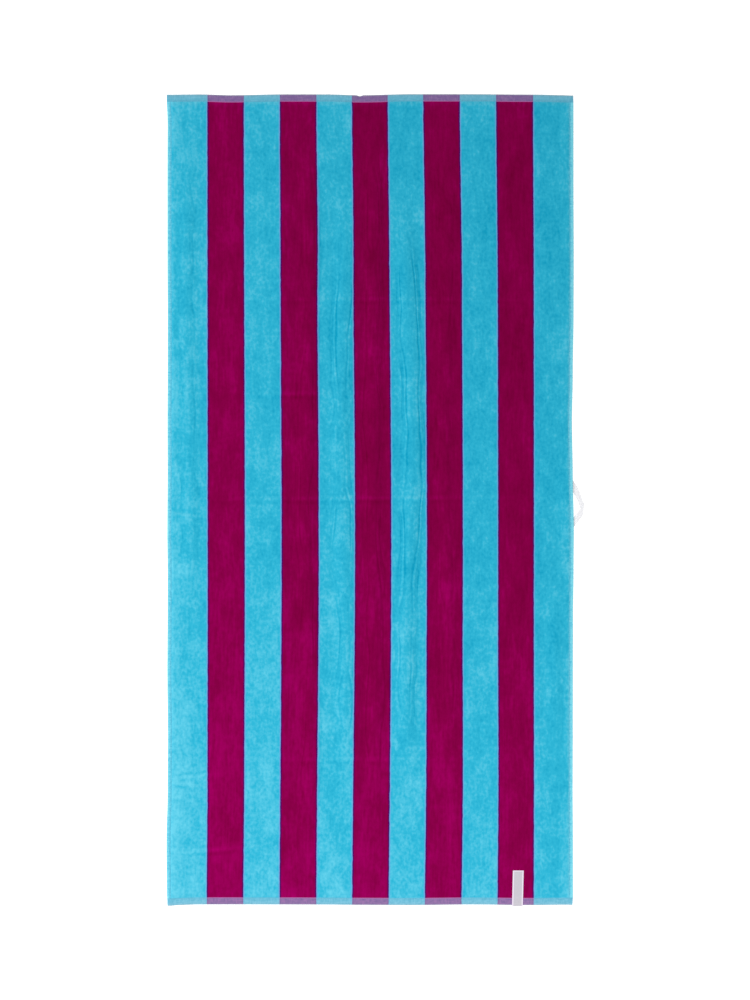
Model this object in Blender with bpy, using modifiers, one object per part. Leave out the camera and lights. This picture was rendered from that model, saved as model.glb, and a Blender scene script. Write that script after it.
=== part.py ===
"""A striped velour bath towel, laid out flat with its face up.

The towel is made of three pieces that a maker would cut and sew:
the cloth with its turned hems, a folded tape to hang it by, and a ribbon label.
Metres, +Z up. X runs across the towel and Y along it. The origin is on the ground,
under the middle of the box that holds the towel, its loop and its label.
"""

import math
from typing import NamedTuple

import bpy
from mathutils import Vector

# The cloth, as cut, woven and hemmed
CLOTH_WIDTH = 0.900
CLOTH_LENGTH = 1.800
STRIPE_WIDTH = 0.0803
STRIPES_BETWEEN_EDGES = 9
SIDE_HEM = 0.009
END_HEM = 0.016
PILE_THICKNESS = 0.0030
HEM_THICKNESS = 0.0022
FOLD_THICKNESS = 0.0012
FOLD_ROUNDING = 0.0012
FOLD_RISE = 0.0005
PILE_SLOPE = 0.0015

# The gap between two pieces that touch, and between what is sewn beneath the cloth and the ground
SEAM_GAP = 0.00035
GROUND_GAP = 0.00010

# The hanging tape, folded once into a V, with both ends under the side hem
TAPE_WIDTH = 0.013
TAPE_THICKNESS = 0.0008
TAPE_TOP_END_Y = 0.0285
TAPE_LOW_END_Y = -0.0475
TAPE_TIP_REACH = 0.0232
TAPE_TIP_Y = -0.0190
TAPE_BOW = 0.0024
TAPE_TUCK = 0.0085
TAPE_FOLD_STEPS = 6
TAPE_TURNING_REACH = 2.2
TAPE_LANDING_REACH = 0.52
TAPE_FIRST_LEG_SHARES = (1.0, 0.8, 0.6, 0.42, 0.28, 0.16)
TAPE_SECOND_LEG_SHARES = (0.12, 0.25, 0.4, 0.55, 0.7, 0.85, 1.0)

# The ribbon label, sewn under the bottom hem, brought round its edge and laid on the face
LABEL_WIDTH = 0.0240
LABEL_THICKNESS = 0.0005
LABEL_X = 0.3270
LABEL_LEAN = 0.0255
LABEL_TOP_Y = -0.8230
LABEL_ROOT = 0.0085
LABEL_EDGE_SLACK = 0.0010
LABEL_FOLD_STEPS = 8

# How finely the cloth is divided
ROWS_ALONG = 20
STRIPE_PARTS = (4, 3, 3, 5, 5, 5, 5, 5, 3, 4, 4)

HALF_WIDTH = CLOTH_WIDTH / 2
HALF_LENGTH = CLOTH_LENGTH / 2

TURQUOISE = (0.045, 0.450, 0.640, 1.0)
MAGENTA = (0.240, 0.001, 0.075, 1.0)
WHITE = (0.800, 0.800, 0.820, 1.0)
COTTON_ROUGHNESS = 0.9
RIBBON_ROUGHNESS = 0.5


class Ripple(NamedTuple):
    """A soft ridge that runs lengthwise, where the cloth stands off the ground."""

    across: float
    sway: float
    half_width: float
    height: float
    low_end: float
    top_end: float


RIPPLES = (
    Ripple(across=-0.404, sway=0.004, half_width=0.028, height=0.0018, low_end=-0.30, top_end=0.84),
    Ripple(across=-0.143, sway=0.008, half_width=0.029, height=0.0034, low_end=-0.84, top_end=0.86),
    Ripple(across=-0.064, sway=0.006, half_width=0.032, height=0.0030, low_end=-0.70, top_end=0.74),
    Ripple(across=0.002, sway=0.004, half_width=0.031, height=0.0040, low_end=-0.74, top_end=0.87),
    Ripple(across=0.082, sway=-0.008, half_width=0.033, height=0.0040, low_end=-0.66, top_end=0.70),
    Ripple(across=0.164, sway=0.006, half_width=0.030, height=0.0028, low_end=-0.70, top_end=0.84),
    Ripple(across=0.408, sway=0.003, half_width=0.026, height=0.0015, low_end=-0.62, top_end=-0.16),
)
RIPPLE_FADE = 0.22
SWAY_WAVELENGTH = 1.10
SWELL_WAVELENGTH = 0.57
SWELL_SHARE = 0.22


class Slide(NamedTuple):
    """A place where the cloth was pulled sideways as it was laid out."""

    across: float
    along: float
    half_width: float
    half_length: float
    shift: float


SLIDES = (
    Slide(across=-0.020, along=-0.090, half_width=0.430, half_length=0.950, shift=0.0068),
    Slide(across=0.150, along=0.900, half_width=0.330, half_length=0.420, shift=-0.0044),
    Slide(across=0.200, along=-0.640, half_width=0.245, half_length=0.360, shift=0.0022),
    Slide(across=-0.110, along=0.590, half_width=0.150, half_length=0.240, shift=0.0020),
    Slide(across=0.290, along=0.000, half_width=0.270, half_length=3.000, shift=0.0020),
    Slide(across=0.020, along=0.800, half_width=0.330, half_length=0.420, shift=0.0020),
    Slide(across=-0.330, along=-0.900, half_width=0.200, half_length=0.260, shift=-0.0016),
)


class SideEdge(NamedTuple):
    """How far the two long edges stand to the right of straight, at one place along the towel."""

    along: float
    left: float
    right: float


SIDE_EDGES = (
    SideEdge(along=-0.900, left=-0.0012, right=0.0002),
    SideEdge(along=-0.762, left=-0.0023, right=0.0001),
    SideEdge(along=-0.650, left=0.0000, right=-0.0005),
    SideEdge(along=-0.517, left=0.0006, right=-0.0002),
    SideEdge(along=-0.384, left=-0.0007, right=0.0000),
    SideEdge(along=-0.251, left=-0.0001, right=0.0002),
    SideEdge(along=-0.162, left=0.0001, right=0.0014),
    SideEdge(along=-0.073, left=-0.0008, right=0.0020),
    SideEdge(along=0.060, left=-0.0001, right=-0.0004),
    SideEdge(along=0.171, left=-0.0004, right=-0.0022),
    SideEdge(along=0.282, left=0.0000, right=-0.0003),
    SideEdge(along=0.416, left=0.0001, right=0.0015),
    SideEdge(along=0.531, left=-0.0004, right=0.0018),
    SideEdge(along=0.709, left=-0.0005, right=0.0012),
    SideEdge(along=0.900, left=0.0001, right=0.0012),
)
SIDE_REACH = 0.085


class EndEdge(NamedTuple):
    """How far the two short edges stand above straight, at one place across the towel."""

    across: float
    top: float
    bottom: float


END_EDGES = (
    EndEdge(across=-0.450, top=0.0000, bottom=-0.0010),
    EndEdge(across=-0.377, top=0.0006, bottom=0.0009),
    EndEdge(across=-0.310, top=-0.0013, bottom=0.0010),
    EndEdge(across=-0.190, top=0.0007, bottom=0.0008),
    EndEdge(across=-0.100, top=0.0006, bottom=0.0006),
    EndEdge(across=-0.020, top=-0.0014, bottom=0.0000),
    EndEdge(across=0.089, top=0.0010, bottom=-0.0004),
    EndEdge(across=0.222, top=0.0010, bottom=0.0008),
    EndEdge(across=0.355, top=0.0001, bottom=-0.0003),
    EndEdge(across=0.450, top=-0.0016, bottom=0.0004),
)
END_REACH = 0.110


class Tuck(NamedTuple):
    """A place where the cloth rides over a piece that is sewn to its back."""

    across: float
    along: float
    half_width: float
    half_length: float
    fade: float
    height: float


LOOP_TUCK = Tuck(
    across=0.450,
    along=-0.008,
    half_width=0.014,
    half_length=0.062,
    fade=0.030,
    height=GROUND_GAP + TAPE_THICKNESS + SEAM_GAP,
)
LABEL_TUCK = Tuck(
    across=0.327,
    along=-0.900,
    half_width=0.0275,
    half_length=0.0195,
    fade=0.032,
    height=GROUND_GAP + LABEL_THICKNESS + SEAM_GAP,
)


def bell(distance, half_width):
    """1 in the middle of a bump and 0 from half_width outwards, with soft shoulders."""
    share = min(1.0, abs(distance) / half_width)
    return 0.5 + 0.5 * math.cos(math.pi * share)


def plateau(distance, half_flat, fade):
    """1 over a flat top and 0 from fade beyond it, with soft shoulders."""
    return bell(max(0.0, abs(distance) - half_flat), fade)


def eased(stations, place, column):
    """A column of a table of stations, read at a place between them with soft turns."""
    if place <= stations[0][0]:
        return getattr(stations[0], column)
    for before, after in zip(stations, stations[1:]):
        if place <= after[0]:
            share = (place - before[0]) / (after[0] - before[0])
            share = share * share * (3.0 - 2.0 * share)
            low = getattr(before, column)
            return low + share * (getattr(after, column) - low)
    return getattr(stations[-1], column)


def ripple_lift(across, along):
    """How far the lengthwise ridges raise the cloth at one place."""
    lift = 0.0
    for ripple in RIPPLES:
        phase = 2.0 * math.pi * (along - ripple.low_end)
        crest = ripple.across + ripple.sway * math.sin(phase / SWAY_WAVELENGTH)
        middle = (ripple.low_end + ripple.top_end) / 2
        half_flat = (ripple.top_end - ripple.low_end) / 2 - RIPPLE_FADE
        strength = plateau(along - middle, max(0.0, half_flat), RIPPLE_FADE)
        strength *= 1.0 - SWELL_SHARE * math.sin(phase / SWELL_WAVELENGTH) ** 2
        lift += ripple.height * strength * bell(across - crest, ripple.half_width)
    return lift


def tuck_lift(tuck, across, along):
    """How far the cloth is raised by what is sewn under it."""
    sideways = plateau(across - tuck.across, tuck.half_width, tuck.fade)
    lengthwise = plateau(along - tuck.along, tuck.half_length, tuck.fade)
    return tuck.height * sideways * lengthwise


def cloth_lift(across, along):
    """Height of the cloth's underside above the ground."""
    edge = min(HALF_WIDTH - abs(across), HALF_LENGTH - abs(along))
    rise = FOLD_RISE if edge < FOLD_ROUNDING / 2 else 0.0
    tucks = (tuck_lift(tuck, across, along) for tuck in (LOOP_TUCK, LABEL_TUCK))
    return max(ripple_lift(across, along), *tucks) + rise


def cloth_thickness(across, along):
    """Thickness of the cloth: its pile, its flat hems, and the round fold at its edge."""
    from_side = HALF_WIDTH - abs(across)
    from_end = HALF_LENGTH - abs(along)
    if min(from_side, from_end) < FOLD_ROUNDING / 2:
        return FOLD_THICKNESS
    on_hem = from_side < SIDE_HEM + PILE_SLOPE / 2 or from_end < END_HEM + PILE_SLOPE / 2
    return HEM_THICKNESS if on_hem else PILE_THICKNESS


def cloth_slide(across, along):
    """How far a point of the cloth lies from where it would be if the towel lay dead straight."""
    shift_x = sum(
        slide.shift
        * bell(across - slide.across, slide.half_width)
        * bell(along - slide.along, slide.half_length)
        for slide in SLIDES
    )
    shift_x *= bell(max(0.0, abs(across) - HALF_WIDTH + SIDE_REACH), 2 * SIDE_REACH)
    shift_x += eased(SIDE_EDGES, along, "left") * bell(across + HALF_WIDTH, SIDE_REACH)
    shift_x += eased(SIDE_EDGES, along, "right") * bell(across - HALF_WIDTH, SIDE_REACH)
    shift_y = eased(END_EDGES, across, "top") * bell(along - HALF_LENGTH, END_REACH)
    shift_y += eased(END_EDGES, across, "bottom") * bell(along + HALF_LENGTH, END_REACH)
    return shift_x, shift_y


def cloth_underside(across, along):
    """Where a point of the cloth's underside lies."""
    shift_x, shift_y = cloth_slide(across, along)
    return Vector((across + shift_x, along + shift_y, cloth_lift(across, along)))


def cloth_top(across, along):
    """Height of the cloth's upper side above the ground."""
    return cloth_lift(across, along) + cloth_thickness(across, along)


def hem_stations(half_size, hem):
    """Distances from the middle at which the fold, the hem and the pile begin, outermost last."""
    return (
        half_size - hem - PILE_SLOPE,
        half_size - hem,
        half_size - FOLD_ROUNDING,
        half_size,
    )


def cloth_columns():
    """Where the cloth is divided across its width: at its hems, stripes, and parts of stripes."""
    first_edge = -STRIPES_BETWEEN_EDGES * STRIPE_WIDTH / 2
    borders = [first_edge + n * STRIPE_WIDTH for n in range(STRIPES_BETWEEN_EDGES + 1)]
    hems = hem_stations(HALF_WIDTH, SIDE_HEM)
    under_loop = LOOP_TUCK.across - LOOP_TUCK.half_width
    columns = [-place for place in hems] + list(hems) + [-under_loop, under_loop]
    starts = [-under_loop] + borders
    ends = borders + [under_loop]
    for start, end, parts in zip(starts, ends, STRIPE_PARTS):
        columns += [start + (end - start) * n / parts for n in range(parts)]
    return sorted({round(place, 6) for place in columns})


def cloth_rows():
    """Where the cloth is divided along its length: at its hems, tucks, and evenly between."""
    hems = hem_stations(HALF_LENGTH, END_HEM)
    rows = [-place for place in hems] + list(hems)
    rows += [-hems[0] + 2 * hems[0] * n / ROWS_ALONG for n in range(1, ROWS_ALONG)]
    for tuck in (LOOP_TUCK, LABEL_TUCK):
        for reach in (tuck.half_length, tuck.half_length + tuck.fade):
            rows += [tuck.along - reach, tuck.along + reach]
    kept = []
    for row in sorted({round(place, 6) for place in rows}):
        if abs(row) <= HALF_LENGTH and (not kept or row - kept[-1] > FOLD_ROUNDING / 2):
            kept.append(row)
    return kept


def in_magenta(across):
    """Whether a place across the cloth is in one of the magenta stripes, every second one."""
    stripe = math.floor(across / STRIPE_WIDTH + STRIPES_BETWEEN_EDGES / 2)
    return 0 <= stripe < STRIPES_BETWEEN_EDGES and stripe % 2 == 0


def new_material(name, colour, roughness):
    """A plain Principled material."""
    material = bpy.data.materials.new(name)
    material.use_nodes = True
    shader = material.node_tree.nodes["Principled BSDF"]
    shader.inputs["Base Color"].default_value = colour
    shader.inputs["Roughness"].default_value = roughness
    shader.inputs["Metallic"].default_value = 0.0
    return material


def new_sheet(name, columns, rows, place, collection):
    """A grid with a vertex at each column and row, moved to where place(column, row) says."""
    across_faces, along_faces = len(columns) - 1, len(rows) - 1
    bpy.ops.mesh.primitive_grid_add(x_subdivisions=across_faces, y_subdivisions=along_faces, size=2)
    sheet = bpy.context.active_object
    sheet.name = sheet.data.name = name
    lattice = []
    for vertex in sheet.data.vertices:
        column = columns[round((vertex.co.x + 1) / 2 * across_faces)]
        row = rows[round((vertex.co.y + 1) / 2 * along_faces)]
        lattice.append((column, row))
        vertex.co = place(column, row)
    for holder in sheet.users_collection:
        holder.objects.unlink(sheet)
    collection.objects.link(sheet)
    return sheet, lattice


def thicken(sheet, thickness, offset):
    """Gives an open sheet its thickness: above it at an offset of 1, to both sides at 0."""
    solidify = sheet.modifiers.new("Thickness", "SOLIDIFY")
    solidify.thickness = thickness
    solidify.offset = offset
    return solidify


def build_cloth(collection):
    """The towel itself: one sheet with striped pile and flat hems on all four sides."""
    cloth, lattice = new_sheet(
        "towel_cloth", cloth_columns(), cloth_rows(), cloth_underside, collection
    )
    group = cloth.vertex_groups.new(name="thickness")
    for index, (across, along) in enumerate(lattice):
        group.add([index], cloth_thickness(across, along) / PILE_THICKNESS, "REPLACE")
    cloth.data.materials.append(new_material("turquoise_velour", TURQUOISE, COTTON_ROUGHNESS))
    cloth.data.materials.append(new_material("magenta_velour", MAGENTA, COTTON_ROUGHNESS))
    for polygon in cloth.data.polygons:
        corners = [lattice[index][0] for index in polygon.vertices]
        polygon.material_index = int(in_magenta(sum(corners) / len(corners)))
    thicken(cloth, PILE_THICKNESS, offset=1.0).vertex_group = group.name
    return cloth


class TapeFold:
    """The plan of the hanging tape: a straight tape that is folded over along one crease."""

    def __init__(self):
        """Works out the crease from the tip and from where both legs meet the towel's edge."""
        top_shift, _ = cloth_slide(HALF_WIDTH, TAPE_TOP_END_Y)
        low_shift, _ = cloth_slide(HALF_WIDTH, TAPE_LOW_END_Y)
        top_end = Vector((HALF_WIDTH + top_shift, TAPE_TOP_END_Y))
        low_end = Vector((HALF_WIDTH + low_shift, TAPE_LOW_END_Y))
        self.tip = Vector((HALF_WIDTH + TAPE_TIP_REACH, TAPE_TIP_Y))
        self.first_leg = (self.tip - top_end).normalized()
        second_leg = (low_end - self.tip).normalized()
        self.side = self.first_leg.orthogonal()
        self.crease = (self.first_leg + second_leg).normalized()
        self.outward = self.crease.orthogonal()
        if self.outward.dot(self.first_leg) < 0:
            self.outward.negate()
        self.radius = (TAPE_THICKNESS + SEAM_GAP) / 2
        self.start = -(self.tip - top_end).length - TAPE_TUCK / self.first_leg.x
        self.end = (low_end - self.tip).length - TAPE_TUCK / second_leg.x
        self.overlap = TAPE_WIDTH / 2 / self.outward.dot(self.first_leg)
        self.skew = -self.outward.dot(self.side) / self.outward.dot(self.first_leg)

    def rows(self):
        """Distances along the middle of the tape, from the crease, at which it is divided."""
        turn = math.pi * self.radius / self.outward.dot(self.first_leg)
        first_leg = [self.start * share for share in TAPE_FIRST_LEG_SHARES]
        bend = [turn * n / TAPE_FOLD_STEPS for n in range(TAPE_FOLD_STEPS + 1)]
        second_leg = [turn + (self.end - turn) * share for share in TAPE_SECOND_LEG_SHARES]
        return first_leg + bend + second_leg

    def place(self, across, along):
        """Where a point of the tape lies, once it is folded at the crease and laid down.

        The tape's divisions run along the crease near it, and square across at its two ends. Its
        first leg is bowed a little, away from the towel.
        """
        leg = self.start if along < 0 else self.end
        bow = TAPE_BOW * bell(along / self.start - 0.5, 0.5)
        turning = TAPE_TURNING_REACH * self.overlap
        landing = TAPE_LANDING_REACH * self.overlap
        square = min(1.0, max(0.0, abs(along) - turning) / (abs(leg) - turning))
        along += self.skew * across * (1.0 - square)
        flat = along * self.first_leg + across * self.side
        beyond = flat.dot(self.outward)
        half_turn = math.pi * self.radius
        if beyond <= 0:
            outward, height = beyond, 0.0
        elif beyond < half_turn:
            angle = beyond / self.radius
            outward, height = self.radius * math.sin(angle), self.radius * (1.0 - math.cos(angle))
        else:
            outward = half_turn - beyond
            height = 2 * self.radius * plateau(beyond - half_turn, self.overlap, landing)
        spot = self.tip + flat.dot(self.crease) * self.crease + outward * self.outward
        spot += bow * self.side
        return Vector((spot.x, spot.y, GROUND_GAP + TAPE_THICKNESS / 2 + height))


def build_loop(collection):
    """The hanging loop: a cotton tape folded to a V, with its two ends under the side hem."""
    fold = TapeFold()
    columns = (-TAPE_WIDTH / 2, 0.0, TAPE_WIDTH / 2)
    loop, _ = new_sheet("hanging_loop", columns, fold.rows(), fold.place, collection)
    loop.data.materials.append(new_material("white_cotton_tape", WHITE, COTTON_ROUGHNESS))
    thicken(loop, TAPE_THICKNESS, offset=0.0).use_even_offset = True
    return loop


def label_profile():
    """The label's run from its sewn root, round the hem's edge and up over the face.

    Each station is a distance above the bottom edge and a height above the ground.
    """
    under = GROUND_GAP + LABEL_THICKNESS / 2
    clear = SEAM_GAP + LABEL_THICKNESS / 2
    hem_top = LABEL_TUCK.height + HEM_THICKNESS + clear
    radius = (hem_top - under) / 2
    profile = [(LABEL_ROOT, under), (LABEL_ROOT / 2, under)]
    for step in range(LABEL_FOLD_STEPS + 1):
        angle = math.pi * step / LABEL_FOLD_STEPS
        height = under + radius * (1 - math.cos(angle))
        profile.append((-LABEL_EDGE_SLACK - radius * math.sin(angle), height))
    top_end = LABEL_TOP_Y + HALF_LENGTH
    for row in cloth_rows():
        above = row + HALF_LENGTH
        if SIDE_HEM < above < top_end:
            profile.append((above, cloth_top(LABEL_X, row) + clear))
    profile.append((top_end, cloth_top(LABEL_X, LABEL_TOP_Y) + clear))
    return profile


def build_label(collection):
    """The ribbon label, bare, with its lower end turned under the bottom hem."""
    profile = label_profile()
    _, edge_shift = cloth_slide(LABEL_X, -HALF_LENGTH)

    def place(across, station):
        above, height = profile[station]
        lean = LABEL_LEAN * above
        return Vector((LABEL_X + across + lean, above - HALF_LENGTH + edge_shift, height))

    columns = (-LABEL_WIDTH / 2, LABEL_WIDTH / 2)
    label, _ = new_sheet("ribbon_label", columns, range(len(profile)), place, collection)
    label.data.materials.append(new_material("white_satin_ribbon", WHITE, RIBBON_ROUGHNESS))
    thicken(label, LABEL_THICKNESS, offset=0.0).use_even_offset = True
    return label


def centre_on_origin(pieces):
    """Moves the whole towel so that the bottom centre of its box is the origin."""
    bpy.context.view_layer.update()
    graph = bpy.context.evaluated_depsgraph_get()
    corners = [Vector(corner) for piece in pieces for corner in piece.evaluated_get(graph).bound_box]
    low = Vector([min(corner[axis] for corner in corners) for axis in range(3)])
    high = Vector([max(corner[axis] for corner in corners) for axis in range(3)])
    shift = Vector((-(low.x + high.x) / 2, -(low.y + high.y) / 2, -low.z))
    for piece in pieces:
        for vertex in piece.data.vertices:
            vertex.co += shift


def main():
    """Clears the scene and builds the towel's three pieces."""
    for old in list(bpy.data.objects):
        bpy.data.objects.remove(old)
    towel = bpy.data.collections.new("bath_towel")
    bpy.context.scene.collection.children.link(towel)
    pieces = [build_cloth(towel), build_loop(towel), build_label(towel)]
    centre_on_origin(pieces)


main()
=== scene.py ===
"""Looks of a striped velour bath towel, laid out flat and seen from straight above.

The towel is one length of cotton velour: a sheared pile on its face, short loops on its back,
and flat woven hems on its four sides, closed with lockstitches. A folded cotton tape to hang it
by is sewn under the right hem, and a bare satin ribbon is sewn under the bottom hem and laid on
the face. Metres, +Z up, X across the towel and Y along it.
"""

import logging
import math
import random
from dataclasses import dataclass, field
from enum import Enum
from typing import Any, Callable, NamedTuple, Sequence

import bmesh
import bpy
from mathutils import Matrix, Vector, noise


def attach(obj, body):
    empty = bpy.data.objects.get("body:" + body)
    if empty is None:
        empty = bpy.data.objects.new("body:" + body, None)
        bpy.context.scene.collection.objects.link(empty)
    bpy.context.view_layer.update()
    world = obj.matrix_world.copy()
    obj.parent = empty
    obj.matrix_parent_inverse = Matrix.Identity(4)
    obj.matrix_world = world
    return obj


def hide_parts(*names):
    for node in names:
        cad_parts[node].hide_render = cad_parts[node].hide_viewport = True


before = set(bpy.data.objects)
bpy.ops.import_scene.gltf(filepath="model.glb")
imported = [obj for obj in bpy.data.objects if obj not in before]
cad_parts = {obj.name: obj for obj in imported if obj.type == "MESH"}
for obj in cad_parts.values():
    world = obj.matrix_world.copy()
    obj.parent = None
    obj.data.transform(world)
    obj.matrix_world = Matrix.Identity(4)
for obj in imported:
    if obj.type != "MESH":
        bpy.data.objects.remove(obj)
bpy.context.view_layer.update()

BODY = "root"
MM = 0.001
UV_NAME = "cloth"
STRIPE_ATTRIBUTE = "stripe"
FLANK_ATTRIBUTE = "flank"
RISE_ATTRIBUTE = "rise"

# Where the middle of the cloth lies in the frame, whose origin is the middle of the whole box
CLOTH_CENTRE = Vector((-0.011455, 0.001065, 0.0))


class Ripple(NamedTuple):
    """A soft ridge that runs lengthwise, where the cloth stands off the ground."""

    across: float
    sway: float
    half_width: float
    height: float
    low_end: float
    top_end: float


class Slide(NamedTuple):
    """A place where the cloth was pulled sideways as it was laid out."""

    across: float
    along: float
    half_width: float
    half_length: float
    shift: float


class SideEdge(NamedTuple):
    """How far the two long edges stand to the right of straight, at one place along the towel."""

    along: float
    left: float
    right: float


class EndEdge(NamedTuple):
    """How far the two short edges stand above straight, at one place across the towel."""

    across: float
    top: float
    bottom: float


class Crease(NamedTuple):
    """A short, narrow ridge or trough in the cloth; its turn is in degrees from crosswise."""

    across: float
    along: float
    half_width: float
    half_length: float
    turn: float
    height: float


class Nick(NamedTuple):
    """A small pull in a short edge of the towel, where the hem was caught by its seam."""

    across: float
    end: int
    depth: float
    half_width: float
    reach: float


class Corner(NamedTuple):
    """How far a corner of the towel is drawn in, sideways and lengthwise."""

    side: int
    end: int
    reach: float
    sideways: float
    lengthwise: float


class Tuck(NamedTuple):
    """A place where the cloth rides over a piece that is sewn to its back."""

    across: float
    along: float
    half_width: float
    half_length: float
    fade: float
    height: float


RIPPLES = (
    Ripple(across=-0.404, sway=0.004, half_width=0.028, height=0.0018, low_end=-0.30, top_end=0.84),
    Ripple(across=-0.143, sway=0.008, half_width=0.029, height=0.0034, low_end=-0.84, top_end=0.86),
    Ripple(across=-0.064, sway=0.006, half_width=0.032, height=0.0030, low_end=-0.70, top_end=0.74),
    Ripple(across=0.002, sway=0.004, half_width=0.031, height=0.0040, low_end=-0.74, top_end=0.87),
    Ripple(across=0.082, sway=-0.008, half_width=0.033, height=0.0040, low_end=-0.66, top_end=0.70),
    Ripple(across=0.164, sway=0.006, half_width=0.030, height=0.0028, low_end=-0.70, top_end=0.84),
    Ripple(across=0.408, sway=0.003, half_width=0.026, height=0.0015, low_end=-0.62, top_end=-0.16),
)

SLIDES = (
    Slide(across=-0.020, along=-0.090, half_width=0.430, half_length=0.950, shift=0.0068),
    Slide(across=0.150, along=0.900, half_width=0.330, half_length=0.420, shift=-0.0044),
    Slide(across=0.200, along=-0.640, half_width=0.245, half_length=0.360, shift=0.0022),
    Slide(across=-0.110, along=0.590, half_width=0.150, half_length=0.240, shift=0.0020),
    Slide(across=0.290, along=0.000, half_width=0.270, half_length=3.000, shift=0.0020),
    Slide(across=0.020, along=0.800, half_width=0.330, half_length=0.420, shift=0.0020),
    Slide(across=-0.330, along=-0.900, half_width=0.200, half_length=0.260, shift=-0.0016),
)

SIDE_EDGES = (
    SideEdge(along=-0.900, left=-0.0012, right=0.0002),
    SideEdge(along=-0.762, left=-0.0023, right=0.0001),
    SideEdge(along=-0.650, left=0.0000, right=-0.0005),
    SideEdge(along=-0.517, left=0.0006, right=-0.0002),
    SideEdge(along=-0.384, left=-0.0007, right=0.0000),
    SideEdge(along=-0.251, left=-0.0001, right=0.0002),
    SideEdge(along=-0.162, left=0.0001, right=0.0014),
    SideEdge(along=-0.073, left=-0.0008, right=0.0020),
    SideEdge(along=0.060, left=-0.0001, right=-0.0004),
    SideEdge(along=0.171, left=-0.0004, right=-0.0022),
    SideEdge(along=0.282, left=0.0000, right=-0.0003),
    SideEdge(along=0.416, left=0.0001, right=0.0015),
    SideEdge(along=0.531, left=-0.0004, right=0.0018),
    SideEdge(along=0.709, left=-0.0005, right=0.0012),
    SideEdge(along=0.900, left=0.0001, right=0.0012),
)

END_EDGES = (
    EndEdge(across=-0.450, top=0.0000, bottom=-0.0010),
    EndEdge(across=-0.377, top=0.0006, bottom=0.0009),
    EndEdge(across=-0.310, top=-0.0013, bottom=0.0010),
    EndEdge(across=-0.190, top=0.0007, bottom=0.0008),
    EndEdge(across=-0.100, top=0.0006, bottom=0.0006),
    EndEdge(across=-0.020, top=-0.0014, bottom=0.0000),
    EndEdge(across=0.089, top=0.0010, bottom=-0.0004),
    EndEdge(across=0.222, top=0.0010, bottom=0.0008),
    EndEdge(across=0.355, top=0.0001, bottom=-0.0003),
    EndEdge(across=0.450, top=-0.0016, bottom=0.0004),
)

CREASES = (
    Crease(across=-0.020, along=0.000, half_width=0.008, half_length=0.400, turn=0.3, height=0.0009),
    Crease(across=0.040, along=0.442, half_width=0.008, half_length=0.360, turn=-0.2, height=0.0007),
    Crease(across=-0.060, along=-0.580, half_width=0.008, half_length=0.380, turn=0.2, height=0.0004),
    Crease(across=-0.170, along=0.232, half_width=0.008, half_length=0.130, turn=0.0, height=0.0009),
    Crease(across=-0.415, along=-0.028, half_width=0.007, half_length=0.045, turn=-8.0, height=-0.0009),
    Crease(across=-0.405, along=-0.612, half_width=0.007, half_length=0.060, turn=6.0, height=-0.0008),
    Crease(across=-0.415, along=-0.634, half_width=0.007, half_length=0.050, turn=-7.0, height=0.0008),
    Crease(across=-0.345, along=-0.781, half_width=0.008, half_length=0.100, turn=5.0, height=0.0009),
    Crease(across=-0.444, along=0.642, half_width=0.004, half_length=0.020, turn=-8.0, height=-0.0007),
    Crease(across=0.066, along=0.262, half_width=0.006, half_length=0.030, turn=-60.0, height=0.0007),
    Crease(across=-0.023, along=0.890, half_width=0.005, half_length=0.035, turn=90.0, height=-0.0006),
)

NICKS = (Nick(across=-0.023, end=1, depth=0.0025, half_width=0.0075, reach=0.012),)

CORNERS = (
    Corner(side=-1, end=1, reach=0.070, sideways=-0.0022, lengthwise=0.0000),
    Corner(side=1, end=1, reach=0.022, sideways=0.0006, lengthwise=0.0004),
    Corner(side=-1, end=-1, reach=0.030, sideways=0.0010, lengthwise=-0.0010),
    Corner(side=1, end=-1, reach=0.018, sideways=0.0012, lengthwise=-0.0003),
)


def bell(distance: float, half_width: float) -> float:
    """1 in the middle of a bump and 0 from half_width outwards, with soft shoulders."""
    share = min(1.0, abs(distance) / half_width)
    return 0.5 + 0.5 * math.cos(math.pi * share)


def plateau(distance: float, half_flat: float, fade: float) -> float:
    """1 over a flat top and 0 from fade beyond it, with soft shoulders."""
    return bell(max(0.0, abs(distance) - half_flat), fade)


def eased(stations: Sequence[Any], place: float, column: str) -> float:
    """A column of a table of stations, read at a place between them with soft turns.

    Args:
        stations: rows of a table, in order of their first column.
        place: where the table is read, in the first column's terms.
        column: the name of the column to read.

    Returns:
        The column's value there, held beyond the two ends.
    """
    if place <= stations[0][0]:
        return getattr(stations[0], column)
    for before, after in zip(stations, stations[1:]):
        if place <= after[0]:
            share = (place - before[0]) / (after[0] - before[0])
            share = share * share * (3.0 - 2.0 * share)
            low = getattr(before, column)
            return low + share * (getattr(after, column) - low)
    return getattr(stations[-1], column)


def divided(stations: Sequence[float], pitch: float) -> list[float]:
    """Fills the spans between stations with even steps.

    Args:
        stations: places that have to stay, in any order.
        pitch: the longest step, in metres.

    Returns:
        All the places in order.
    """
    ordered = sorted(set(stations))
    places = []
    for start, end in zip(ordered, ordered[1:]):
        steps = max(1, math.ceil((end - start) / pitch - 1e-6))
        places += [start + (end - start) * n / steps for n in range(steps)]
    return places + [ordered[-1]]


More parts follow.
